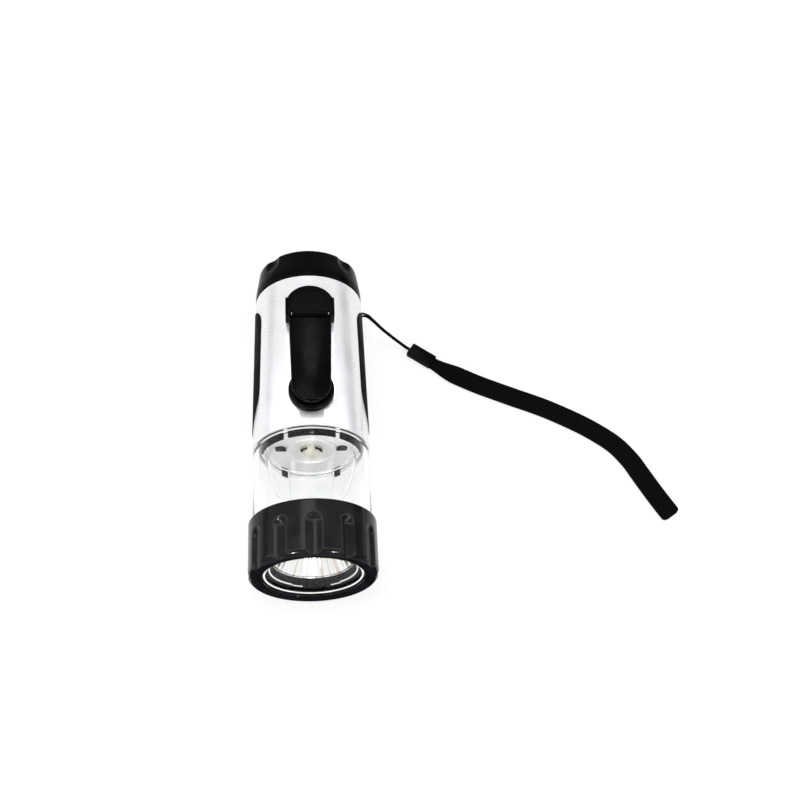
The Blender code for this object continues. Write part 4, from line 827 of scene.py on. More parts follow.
def turned(
    profile: Sequence[Flat],
    sides: int = 128,
    way: Way = Way.TORCH,
    at: Spot = (0.0, 0.0, 0.0),
    warp: Warp | None = None,
    arc_from: float = 0.0,
    arc_to: float = 360.0,
) -> Solid:
    """Turn a profile into a closed solid.

    Args:
        profile: (radius, station) points. Ends on the axis give a solid, others a ring.
        sides: Faces round a full turn.
        way: The line that it is turned about.
        at: Place of the profile's origin.
        warp: Radius as a function of radius, station and angle, for flutes and facets.
        arc_from: First angle in degrees, clockwise from the top seen from the lens end.
        arc_to: Last angle in degrees.

    Returns:
        The solid, faces outwards.
    """
    shape = bmesh.new()
    closed = arc_to - arc_from >= 360
    ring = profile[0][0] > ON_AXIS or profile[-1][0] > ON_AXIS
    count = sides if closed else max(2, round(sides * (arc_to - arc_from) / 360)) + 1
    columns: list[list[bmesh.types.BMVert]] = []
    poles: dict[int, bmesh.types.BMVert] = {}
    for j in range(count):
        share = j / count if closed else j / (count - 1)
        turn = math.radians(arc_from + (arc_to - arc_from) * share)
        column = []
        for i, (radius, station) in enumerate(profile):
            if radius < ON_AXIS and i in poles:
                column.append(poles[i])
                continue
            reach = warp(radius, station, turn) if warp else radius
            if way is Way.TORCH:
                place = (reach * math.sin(turn), station, reach * math.cos(turn))
            else:
                place = (reach * math.cos(turn), reach * math.sin(turn), station)
            vert = shape.verts.new(Vector(place) + Vector(at))
            if radius < ON_AXIS:
                poles[i] = vert
            column.append(vert)
        columns.append(column)
    rows = len(profile)
    spans = range(count) if closed else range(count - 1)
    for j in spans:
        near, far = columns[j], columns[(j + 1) % count]
        for i in range(rows if ring else rows - 1):
            k = (i + 1) % rows
            corners = [near[i], far[i], far[k], near[k]]
            unique = list(dict.fromkeys(corners))
            if len(unique) > 2:
                shape.faces.new(unique)
    if not closed:
        shape.faces.new(columns[0])
        shape.faces.new(list(reversed(columns[-1])))
    bmesh.ops.recalc_face_normals(shape, faces=shape.faces)
    return shape


def prism(outline: Sequence[Flat], bottom: float, top: float) -> Solid:
    """Raise a flat outline between two levels.

    Args:
        outline: (x, y) points.
        bottom: Lower level.
        top: Upper level.

    Returns:
        The solid.
    """
    shape = bmesh.new()
    low = [shape.verts.new((x, y, bottom)) for x, y in outline]
    high = [shape.verts.new((x, y, top)) for x, y in outline]
    shape.faces.new(list(reversed(low)))
    shape.faces.new(high)
    for i in range(len(outline)):
        k = (i + 1) % len(outline)
        shape.faces.new((low[i], low[k], high[k], high[i]))
    bmesh.ops.recalc_face_normals(shape, faces=shape.faces)
    return shape


def box(size: Spot, at: Spot, turn: float = 0.0) -> Solid:
    """A box about a point.

    Args:
        size: Its size in X, Y and Z.
        at: Its middle.
        turn: Degrees that it is turned about Z.

    Returns:
        The solid.
    """
    shape = bmesh.new()
    spin = Matrix.Rotation(math.radians(turn), 4, "Z")
    place = Matrix.Translation(at) @ spin @ Matrix.Diagonal((*size, 1))
    bmesh.ops.create_cube(shape, size=1.0, matrix=place)
    return shape


def softened(
    shape: Solid, width: float, segments: int = 3, limit: float = 40.0
) -> Solid:
    """Round the sharp edges of a shape in place.

    Args:
        shape: The shape.
        width: Width of the rounding in millimetres.
        segments: Faces across it.
        limit: Edges sharper than this many degrees are rounded.

    Returns:
        The same shape.
    """
    sharp = [
        edge
        for edge in shape.edges
        if len(edge.link_faces) == 2 and math.degrees(edge.calc_face_angle(0.0)) > limit
    ]
    bmesh.ops.bevel(
        shape, geom=sharp, offset=width, segments=segments, profile=0.5, affect="EDGES",
        clamp_overlap=True,
    )
    return shape


def rod(radius: float, start: Spot, end: Spot, sides: int = 32, edge: float = 0.0) -> Solid:
    """A round bar between two points.

    Args:
        radius: Its radius.
        start: One end's centre.
        end: The other end's centre.
        sides: Faces round it.
        edge: Rounding of its end edges.

    Returns:
        The solid.
    """
    first, last = Vector(start), Vector(end)
    length = (last - first).length
    if edge > 0:
        corners = [(0, 0, 0), (radius, 0, edge), (radius, length, edge), (0, length, 0)]
        profile = rounded(corners)
    else:
        profile = [(0.0, 0.0), (radius, 0.0), (radius, length), (0.0, length)]
    shape = turned(profile, sides, Way.UP)
    spin = Vector((0, 0, 1)).rotation_difference(last - first).to_matrix().to_4x4()
    shape.transform(Matrix.Translation(first) @ spin)
    return shape


def together(*shapes: Solid) -> Solid:
    """Put separate shapes into one.

    Args:
        *shapes: The shapes, of which only the first is kept.

    Returns:
        The first shape with the others added.
    """
    whole = shapes[0]
    for other in shapes[1:]:
        mesh = bpy.data.meshes.new("joined")
        other.to_mesh(mesh)
        whole.from_mesh(mesh)
        bpy.data.meshes.remove(mesh)
        other.free()
    return whole


def placed(name: str, data: bpy.types.ID) -> Object:
    """Put an object into the scene.

    Args:
        name: Its name.
        data: Its mesh, curve, lamp or camera.

    Returns:
        The object.
    """
    thing = bpy.data.objects.new(name, data)
    bpy.context.scene.collection.objects.link(thing)
    return thing


def loose_object(name: str, shape: Solid) -> Object:
    """Make a bare object of a shape.

    Args:
        name: Its name.
        shape: The shape, used up here.

    Returns:
        The object.
    """
    mesh = bpy.data.meshes.new(name)
    shape.to_mesh(mesh)
    shape.free()
    return placed(name, mesh)


def worked(shape: Solid, *steps: Step) -> Solid:
    """Cut and join shapes with exact Booleans.

    Args:
        shape: The shape to work on.
        *steps: What to do, and with which shape.

    Returns:
        The finished shape.
    """
    piece = loose_object("work", shape)
    for operation, tool_shape in steps:
        tool = loose_object("tool", tool_shape)
        change = piece.modifiers.new("work", "BOOLEAN")
        change.operation = operation.value
        change.solver = "EXACT"
        change.object = tool
        bpy.context.view_layer.update()
        graph = bpy.context.evaluated_depsgraph_get()
        done = bpy.data.meshes.new_from_object(piece.evaluated_get(graph))
        piece.modifiers.clear()
        old, piece.data = piece.data, done
        bpy.data.meshes.remove(old)
        cutter = tool.data
        bpy.data.objects.remove(tool)
        bpy.data.meshes.remove(cutter)
    result = bmesh.new()
    result.from_mesh(piece.data)
    mesh = piece.data
    bpy.data.objects.remove(piece)
    bpy.data.meshes.remove(mesh)
    return result


class Maker:
    """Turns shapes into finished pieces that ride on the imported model."""

    def __init__(self, finishes: Finishes, nodes: dict[str, Object]) -> None:
        """Keep the torch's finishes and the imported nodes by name."""
        self.finishes = finishes
        self.nodes = nodes

    def piece(
        self,
        name: str,
        shape: Solid,
        body: Body,
        finish: Finish,
        *stands_for: str,
        sharp: float = 32.0,
        torch_frame: bool = True,
    ) -> Object:
        """Finish a shape as a piece.

        Args:
            name: The piece's name.
            shape: Its shape, used up here.
            body: The body it rides on.
            finish: Its finish.
            *stands_for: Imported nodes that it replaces.
            sharp: Edges sharper than this many degrees stay crisp.
            torch_frame: Whether the shape is in torch millimetres and not in metres.

        Returns:
            The finished object.
        """
        if torch_frame:
            shape.transform(FRAME.matrix())
        for face in shape.faces:
            face.smooth = True
        for edge in shape.edges:
            if len(edge.link_faces) == 2:
                edge.smooth = math.degrees(edge.calc_face_angle(0.0)) < sharp
        piece = loose_object(name, shape)
        piece.data.materials.append(finish.material)
        self.seat(piece, body, finish, *stands_for)
        log.info("%s rides on %s, %d faces", name, body.value, len(piece.data.polygons))
        return piece

    @staticmethod
    def seat(piece: Object, body: Body, finish: Finish, *stands_for: str) -> None:
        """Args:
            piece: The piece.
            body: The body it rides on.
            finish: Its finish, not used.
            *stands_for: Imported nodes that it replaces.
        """
        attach(piece, body.value)
        if stands_for:
            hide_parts(*stands_for)

    def dress(self, finish: Finish, *nodes: str) -> None:
        """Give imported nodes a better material.

        Args:
            finish: Their finish.
            *nodes: Their names.
        """
        for node in nodes:
            materials = self.nodes[node].data.materials
            materials.clear()
            materials.append(finish.material)
            log.info("%s keeps its packed shape", node)


@dataclass
class Assembly:
    """A sub-assembly of the torch with the maker of its pieces."""

    maker: Maker

    @property
    def finishes(self) -> Finishes:
        """The torch's finishes."""
        return self.maker.finishes

    def build(self) -> None:
        """Build every piece of the sub-assembly."""
        raise NotImplementedError


def flute_depth(station: float, start: float, end: float, cutter: float) -> float:
    """Half-width of a round-ended cutter where it crosses a station, 0 beyond its ends."""
    beyond = max(start + cutter - station, station - end + cutter, 0.0)
    return math.sqrt(max(0.0, cutter * cutter - beyond * beyond))


def soft_least(first: float, second: float, blend: float) -> float:
    """The smaller of two numbers, with the change between them rounded off."""
    share = max(blend - abs(first - second), 0.0) / blend
    return min(first, second) - share * share * blend / 4


@dataclass(frozen=True)
class Flutes:
    """Grip flutes cut along a round piece by round-ended cutters."""

    count: int
    first: float
    cutter: float
    depth: float
    start: float
    end: float
    surface: float
    taper: float = 0.0
    edge: float = 0.35

    def radius(self, radius: float, station: float, turn: float) -> float:
        """Radius of the fluted surface.

        Args:
            radius: Radius before the flutes.
            station: Place along the torch.
            turn: Angle from the top in radians.

        Returns:
            The radius that the flutes leave.
        """
        pitch = 2 * math.pi / self.count
        off = (turn - self.first + pitch / 2) % pitch - pitch / 2
        half = flute_depth(station, self.start, self.end, self.cutter)
        middle = self.surface - self.depth + self.cutter
        middle -= (station - self.start) * math.tan(self.taper)
        inside = half * half - (middle * math.sin(off)) ** 2
        if inside <= 0:
            return radius
        wall = middle * math.cos(off) - math.sqrt(inside)
        return soft_least(radius, wall, self.edge)


# The torch's sub-assemblies


@dataclass
class Barrel(Assembly):
    """Silver barrel in two halves with its land, side grips and closing screws."""

    front: float = -17.2
    rear: float = 61.7
    front_radius: float = 26.0
    rear_radius: float = 25.0
    wall: float = 2.0
    neck_radius: float = 22.0
    neck_wall: float = 1.6
    neck_end: float = 71.7
    seam: float = 0.15
    edge: float = 0.22
    land_top: float = 25.4
    land_half: float = 10.8
    land_front: float = -1.5
    land_rear: float = 39.0
    bush_hole: float = 4.7
    grip_front: float = -8.0
    grip_rear: float = 55.2
    grip_half: float = 12.0
    grip_tip: float = 2.2
    grip_tip_length: float = 11.0
    grip_shoulder: float = 24.0
    grip_edge: float = 0.25
    grip_depths: Flat = (-0.9, 0.3)
    bed_depths: Flat = (-1.2, 3.0)
    bed_margin: float = 0.3
    side_start: float = 2.0
    string_station: float = 58.6
    string_levels: Flat = (-1.3, -3.8)
    string_hole: float = 0.7
    post_radius: float = 2.7
    well_radius: float = 2.2
    well_end: float = -9.3
    screw_places: tuple[Flat, ...] = ((-18.4, -6.0), (-18.4, 46.0), (18.4, -6.0), (18.4, 46.0))
    screw_words: tuple[str, ...] = ("left_front", "left_rear", "right_front", "right_rear")
    screw_profile: tuple[Corner, ...] = (
        (0, 8.6, 0), (0.7, 8.6, 0.2), (1.0, 7.6, 0.2), (1.0, -9.6, 0.1),
        (1.9, -9.6, 0.2), (1.9, -10.5, 0.6), (0, -10.9, 0),
    )
    recess_size: Spot = (2.2, 0.45, 1.2)
    recess_level: float = -10.8

    def radius_at(self, station: float) -> float:
        """Outer radius of the barrel at a station."""
        share = (station - self.front) / (self.rear - self.front)
        return self.front_radius + (self.rear_radius - self.front_radius) * share

    def solid(self) -> Solid:
        """The hollow barrel before it is halved.

        Returns:
            The solid.
        """
        neck, wall = self.neck_radius, self.wall
        corners = [
            (self.front_radius, self.front, 0.5),
            (self.rear_radius, self.rear, 0.35),
            (neck, self.rear, 0.2),
            (neck, self.neck_end, 0.2),
            (neck - self.neck_wall, self.neck_end, 0.2),
            (neck - self.neck_wall, self.rear - 2, 0),
            (self.rear_radius - wall, self.rear - 4, 0),
            (self.front_radius - wall, self.front, 0.2),
        ]
        return turned(rounded(corners), 192)

    def pill(self, bottom: float, top: float) -> Solid:
        """The outline of the crank's land, raised between two levels.

        Args:
            bottom: Lower level.
            top: Upper level.

        Returns:
            The solid.
        """
        front = arc(0, self.land_front, self.land_half, 180, 360, 32)
        rear = arc(0, self.land_rear, self.land_half, 0, 180, 32)
        return prism(front + rear, bottom, top)

    def grip_outline(self, grow: float) -> list[Flat]:
        """Side view of a grip as (height, station) points, round behind and drawn out in front.

        Args:
            grow: Margin round the outline.

        Returns:
            The outline's points.
        """
        half, tip = self.grip_half + grow, self.grip_tip + grow
        rear, front = self.grip_rear + grow, self.grip_front - grow
        shoulder = self.grip_front + self.grip_tip_length
        corners = [
            (-half, rear, half * 0.98),
            (-half, shoulder, self.grip_shoulder),
            (-tip, front, tip * 0.9),
            (tip, front, tip * 0.9),
            (half, shoulder, self.grip_shoulder),
            (half, rear, half * 0.98),
        ]
        return rounded(corners, 10)

    def side_skin(self, depths: Flat, grow: float, side: int) -> Solid:
        """A grip's outline cut from a ring between two depths of the barrel's surface.

        Args:
            depths: Inner and outer face, measured outwards from the barrel's surface.
            grow: Margin round the outline.
            side: 1 for +X and -1 for -X.

        Returns:
            The solid.
        """
        inner, outer = depths
        front, rear = self.grip_front - 4, self.grip_rear + 4
        band = [
            (self.radius_at(front) + outer, front),
            (self.radius_at(rear) + outer, rear),
            (self.radius_at(rear) + inner, rear),
            (self.radius_at(front) + inner, front),
        ]
        outline = prism(self.grip_outline(grow), self.side_start, self.front_radius + 3)
        outline.transform(
            Matrix(((0, 0, side, 0), (0, 1, 0, 0), (-side, 0, 0, 0), (0, 0, 0, 1)))
        )
        return worked(turned(band, 192), (Operation.KEEP, outline))

    def halved(self, side: int, first: Sequence[Step], then: Sequence[Step]) -> Solid:
        """One shell: the barrel worked, cut in half, worked again and sunk for the grips.

        Args:
            side: 1 for the upper shell and -1 for the lower one.
            first: What is done to the whole barrel.
            then: What is done to the half.

        Returns:
            The shell, with a rounded edge to every opening.
        """
        depth = 40.0
        waste = box((80, 120, depth), (0, 25, -side * (depth / 2 - self.seam)))
        beds = [
            (Operation.CUT, self.side_skin(self.bed_depths, self.bed_margin, where))
            for where, _ in SIDES
        ]
        shell = worked(self.solid(), *first, (Operation.CUT, waste), *then, *beds)
        return softened(shell, self.edge, 2)

    def shells(self) -> None:
        """Upper shell with the crank's land, and lower shell with its screw posts."""
        keep_out = turned(
            [(0, self.front - 1), (24, self.front - 1), (23, self.rear - 4), (0, self.rear - 4)],
            96,
        )
        land = worked(self.pill(self.land_top - 6, self.land_top), (Operation.CUT, keep_out))
        bush = rod(self.bush_hole, (0, self.land_rear, 15), (0, self.land_rear, 30), 64)
        relief = self.pill(self.land_top, self.front_radius + 2)
        upper = self.halved(
            1, [(Operation.JOIN, land)], [(Operation.CUT, relief), (Operation.CUT, bush)]
        )
        self.maker.piece(
            "barrel_upper", upper, Body.BARREL, self.finishes.silver, "upper_shell"
        )
        posts, wells = [], []
        for x, y in self.screw_places:
            room = turned([(0, -15), (25, -15), (24.2, 60), (0, 60)], 96)
            post = rod(self.post_radius, (x, y, -24), (x, y, -0.6), 40)
            posts.append((Operation.JOIN, worked(post, (Operation.KEEP, room))))
            well = rod(self.well_radius, (x, y, -40), (x, y, self.well_end), 40)
            wells.append((Operation.CUT, well))
        y = self.string_station
        holes = [
            (Operation.CUT, rod(self.string_hole, (18, y, z), (30, y, z), 24))
            for z in self.string_levels
        ]
        lower = self.halved(-1, [], [*posts, *wells, *holes])
        self.maker.piece(
            "barrel_lower", lower, Body.BARREL, self.finishes.silver, "lower_shell"
        )

    def grips(self) -> None:
        """Rubber side grips with a rounded edge, proud of the shells."""
        for side, word in SIDES:
            pad = softened(self.side_skin(self.grip_depths, 0.0, side), self.grip_edge, 2)
            self.maker.piece(
                f"side_grip_{word}", pad, Body.BARREL, self.finishes.rubber, f"grip_{word}"
            )

    def screws(self) -> None:
        """Closing screws with cross recesses, in the wells underneath."""
        for word, (x, y) in zip(self.screw_words, self.screw_places):
            screw = turned(rounded(self.screw_profile), 40, Way.UP, (x, y, 0))
            recess = [
                (Operation.CUT, box(self.recess_size, (x, y, self.recess_level), turn))
                for turn in (0.0, 90.0)
            ]
            self.maker.piece(
                f"closing_screw_{word}", worked(screw, *recess), Body.BARREL,
                self.finishes.steel, f"screw_{word}",
            )

    def build(self) -> None:
        """Build the barrel."""
        self.shells()
        self.grips()
        self.screws()


@dataclass
class Crank(Assembly):
    """Folding crank: eared hub, hinge pin, tapering arm and round knob on its rivet."""

    axis: float = 39.0
    bottom: float = 25.8
    top: float = 33.6
    hub_radius: float = 10.9
    hub_edge: float = 0.7
    ear: float = 4.4
    groove_radii: Flat = (8.15, 8.55)
    groove_depth: float = 0.25
    hinge: float = 34.2
    hinge_level: float = 33.8
    gap: float = 0.3
    knuckle: float = 1.6
    knuckle_half: float = 8.0
    knuckle_end: float = 9.5
    knuckle_edge: float = 0.25
    pin_radius: float = 0.7
    pin_half: float = 9.2
    pin_hole: float = 1.0
    past: float = 12.0
    arm_bottom: float = 30.1
    arm_edge: float = 0.8
    arm_rear_half: float = 9.4
    arm_end_radius: float = 8.45
    marks: tuple[tuple[float, float, float, float], ...] = (
        (0.0, 5.5, 2.4, 0.5), (0.0, 6.7, 1.4, 0.5), (-3.1, 31.0, 1.8, 0.7), (3.1, 31.0, 1.8, 0.7),
    )
    mark_depth: float = 0.12
    knob_station: float = -1.5
    knob_radius: float = 9.9
    knob_top: float = 29.8

    def across(self, radius: float, start: float, end: float, edge: float = 0.0) -> Solid:
        """A bar along the hinge line between two places in X."""
        y, z = self.hinge, self.hinge_level
        return rod(radius, (start, y, z), (end, y, z), 32, edge)

    def hub(self) -> None:
        """Hub with square ears at the hinge, a low round cap and knuckles."""
        wide, front, shoulder = self.hub_radius, self.hinge + self.gap, self.axis + self.ear
        turn = math.degrees(math.asin(self.ear / wide))
        outline = [(-wide, front), (wide, front), (wide, shoulder)]
        outline += arc(0, self.axis, wide, turn, 180 - turn, 48)
        outline.append((-wide, shoulder))
        block = softened(prism(outline, self.bottom, self.top), self.hub_edge, 4)
        reach = self.knuckle_half + self.gap
        steps = [(Operation.CUT, self.across(self.knuckle + self.gap, -reach, reach))]
        for side, _ in SIDES:
            knuckle = self.across(
                self.knuckle, side * reach, side * self.knuckle_end, self.knuckle_edge
            )
            steps.append((Operation.JOIN, knuckle))
        inner, outer = self.groove_radii
        low, high = self.top - self.groove_depth, self.top + 1
        groove = [(inner, low), (outer, low), (outer, high), (inner, high)]
        steps.append((Operation.CUT, turned(groove, 96, Way.UP, (0, self.axis, 0))))
        steps.append((Operation.CUT, self.across(self.pin_hole, -self.past, self.past)))
        self.maker.piece(
            "crank_hub_body", worked(block, *steps), Body.CRANK, self.finishes.black, "crank_hub"
        )

    def pin(self) -> None:
        """Hinge pin with domed ends."""
        pin = self.across(self.pin_radius, -self.pin_half, self.pin_half, 0.3)
        self.maker.piece(
            "crank_hinge_pin", pin, Body.CRANK, self.finishes.steel, "hinge_pin"
        )

    def arm(self) -> None:
        """Tapering arm with small moulded marks and its knuckle."""
        rear, half = self.hinge - self.gap, self.knuckle_half
        outline = [(self.arm_rear_half, rear), (-self.arm_rear_half, rear)]
        outline += arc(0, self.knob_station, self.arm_end_radius, 180, 360, 48)
        block = softened(prism(outline, self.arm_bottom, self.top), self.arm_edge, 4)
        steps = [
            (Operation.CUT, self.across(self.knuckle + self.gap, half, self.past)),
            (Operation.CUT, self.across(self.knuckle + self.gap, -self.past, -half)),
            (Operation.JOIN, self.across(self.knuckle, -half, half, self.knuckle_edge)),
            (Operation.CUT, self.across(self.pin_hole, -self.past, self.past)),
        ]
        for x, y, wide, long in self.marks:
            mark = oblong(wide, long, 0.2, 3, (x, y))
            steps.append((Operation.CUT, prism(mark, self.top - self.mark_depth, self.top + 1)))
        self.maker.piece(
            "crank_arm_body", worked(block, *steps), Body.ARM, self.finishes.crowned_black,
            "crank_arm",
        )

    def knob(self) -> None:
        """Round knob with a grooved rim."""
        low, high, wide = self.bottom, self.knob_top, self.knob_radius
        corners = [
            (1.8, high, 0.1), (wide, high, 0.7), (wide, high - 1.5, 0.15),
            (wide - 0.35, high - 1.7, 0.1), (wide - 0.35, high - 2.3, 0.1),
            (wide, high - 2.5, 0.15), (wide, low, 0.9), (3.3, low, 0.2),
            (3.3, low + 1.8, 0.1), (1.8, low + 1.8, 0.1),
        ]
        knob = turned(rounded(corners), 96, Way.UP, (0, self.knob_station, 0))
        self.maker.piece("crank_knob_body", knob, Body.KNOB, self.finishes.black, "crank_knob")

    def build(self) -> None:
        """Build the crank and dress its hidden metal."""
        self.hub()
        self.pin()
        self.arm()
        self.knob()
        self.maker.dress(self.finishes.steel, "knob_rivet", "crank_shaft", "shaft_clip")


@dataclass
class Lantern(Assembly):
    """Clear tube round a white floor, its lamp under a clear dome and a black collar band."""

    rear: float = -17.5
    front: float = -52.2
    radius: float = 25.6
    bore: float = 23.4
    spigot: float = 23.7
    spigot_bore: float = 22.6
    spigot_length: float = 4.0
    front_spigot: float = 23.9
    floor_front: float = -16.6
    floor_radius: float = 22.3
    circle: float = 10.7
    lug_boxes: tuple[tuple[float, float, float, float, float], ...] = (
        (13.4, 1.6, 4.6, 1.1, 1.0), (11.9, 2.9, 1.2, 1.5, 0.9),
        (15.2, 3.0, 1.2, 1.4, 0.9), (13.4, 3.9, 2.4, 0.8, 0.8),
    )
    collar_radius: float = 22.3
    collar_wall: float = 1.0
    collar_rear: float = -16.9
    collar_front: float = -20.5
    slot_turn: float = 30.0
    slot_half: float = 3.2
    segment_end: float = 78.0
    foot_turn: float = 34.0
    foot_half: float = 6.0
    lamp_back: float = -15.2
    lamp_radius: float = 4.0
    lamp_length: float = 4.6
    dome_base: float = -17.6
    dome_tip: float = -47.6
    dome_radius: float = 20.0
    dome_wall: float = 1.2

    def tube(self) -> None:
        """Clear tube with stepped spigots into the barrel and the head."""
        front, rear, long = self.front, self.rear, self.spigot_length
        corners = [
            (self.radius, rear, 0.3), (self.radius, front, 0.3),
            (self.front_spigot, front, 0.1), (self.front_spigot, front - long, 0.3),
            (self.spigot_bore, front - long, 0.3), (self.spigot_bore, front + 0.85, 0.2),
            (self.bore, front + 1.7, 0.4), (self.bore, rear - 1.7, 0.4),
            (self.spigot_bore, rear - 0.85, 0.2), (self.spigot_bore, rear + long, 0.3),
            (self.spigot, rear + long, 0.3), (self.spigot, rear, 0.1),
        ]
        self.maker.piece(
            "lantern_tube", turned(rounded(corners), 160), Body.BARREL, self.finishes.clear,
            "lantern_globe",
        )

    def collar(self) -> None:
        """Black band of three grooved segments on a white ring, with two feet below."""
        outer, inner = self.collar_radius, self.collar_radius - self.collar_wall
        rear, tip = self.collar_rear, self.collar_front
        ring = [
            (outer, rear, 0), (outer, rear - 0.7, 0.1), (inner, rear - 0.7, 0.1), (inner, rear, 0)
        ]
        self.maker.piece(
            "collar_ring", turned(rounded(ring)), Body.BARREL, self.finishes.white,
            "lantern_collar",
        )
        back = rear - 0.72
        middle = (back + tip) / 2
        band = rounded([
            (outer, back, 0.1), (outer, middle + 0.25, 0.1), (outer - 0.35, middle, 0.05),
            (outer, middle - 0.25, 0.1), (outer, tip, 0.15), (inner, tip, 0.15),
            (inner, back, 0.1),
        ], 2)
        near, far = self.slot_turn - self.slot_half, self.slot_turn + self.slot_half
        below, half = 180 - self.foot_turn, self.foot_half
        spans = (
            ("top", -near, near),
            ("right", far, self.segment_end),
            ("left", -self.segment_end, -far),
            ("foot_right", below - half, below + half),
            ("foot_left", 360 - below - half, 360 - below + half),
        )
        for word, start, end in spans:
            self.maker.piece(
                f"collar_{word}", turned(band, 240, arc_from=start, arc_to=end), Body.BARREL,
                self.finishes.gloss_black,
            )

    def floor(self) -> None:
        """White floor with a raised circle, a lamp well and two dark contact lugs."""
        front, back, circle = self.floor_front, self.floor_front + 1.4, self.circle
        corners = [
            (self.floor_radius, back, 0.1), (self.floor_radius, front, 0.3),
            (circle + 0.5, front, 0.1), (circle + 0.4, front - 0.8, 0.2),
            (circle - 0.4, front - 0.8, 0.2), (circle - 0.5, front, 0.1),
            (5.9, front + 0.5, 0.2), (5.1, front + 0.5, 0.1), (5.1, back, 0.1),
        ]
        self.maker.piece(
            "lantern_floor", turned(rounded(corners)), Body.BARREL, self.finishes.white,
            "lantern_dish",
        )
        for side, word in SIDES:
            lug = [
                softened(
                    box((wide, rise + 0.2, high), (side * x, front - rise / 2 + 0.1, z)), 0.2, 2
                )
                for x, z, wide, high, rise in self.lug_boxes
            ]
            self.maker.piece(
                f"contact_lug_{word}", together(*lug), Body.BARREL, self.finishes.gloss_black
            )

    def lamp(self) -> None:
        """Clear-nosed lamp in a dark split collar."""
        back, wide = self.lamp_back, self.lamp_radius
        tip = back - self.lamp_length
        foot = rounded([(wide, back - 0.9, 0.1), (4.8, back - 0.8, 0.1), (4.8, back, 0.1)])
        profile = nose(wide, tip, tip + wide, 10) + foot + [(0.0, back)]
        self.maker.piece(
            "lantern_lamp_body", turned(profile, 64), Body.BARREL, self.finishes.lamp,
            "lantern_lamp",
        )
        split = hoop(4.3, 5.0, -18.0, -17.1, 0.1)
        for word, start, end in (("left", -75, -22), ("right", 22, 78)):
            self.maker.piece(
                f"lamp_collar_{word}", turned(split, 120, arc_from=start, arc_to=end),
                Body.BARREL, self.finishes.gloss_black,
            )

    def dome(self) -> None:
        """Clear dome over the lamp, thin-walled and open at its base."""
        base, wall = self.dome_base, self.dome_wall
        outer = nose(self.dome_radius, self.dome_tip, base, 28)
        inner = nose(self.dome_radius - wall, self.dome_tip + wall, base, 28)
        self.maker.piece(
            "lantern_dome_shell", turned(outer + inner[::-1]), Body.BARREL,
            self.finishes.clear, "lantern_dome",
        )

    def build(self) -> None:
        """Build the lantern and dress what stays packed."""
        self.tube()
        self.collar()
        self.floor()
        self.lamp()
        self.dome()
        self.maker.dress(self.finishes.board, "lantern_board")
        self.maker.dress(self.finishes.white, "conductor_left", "conductor_right")


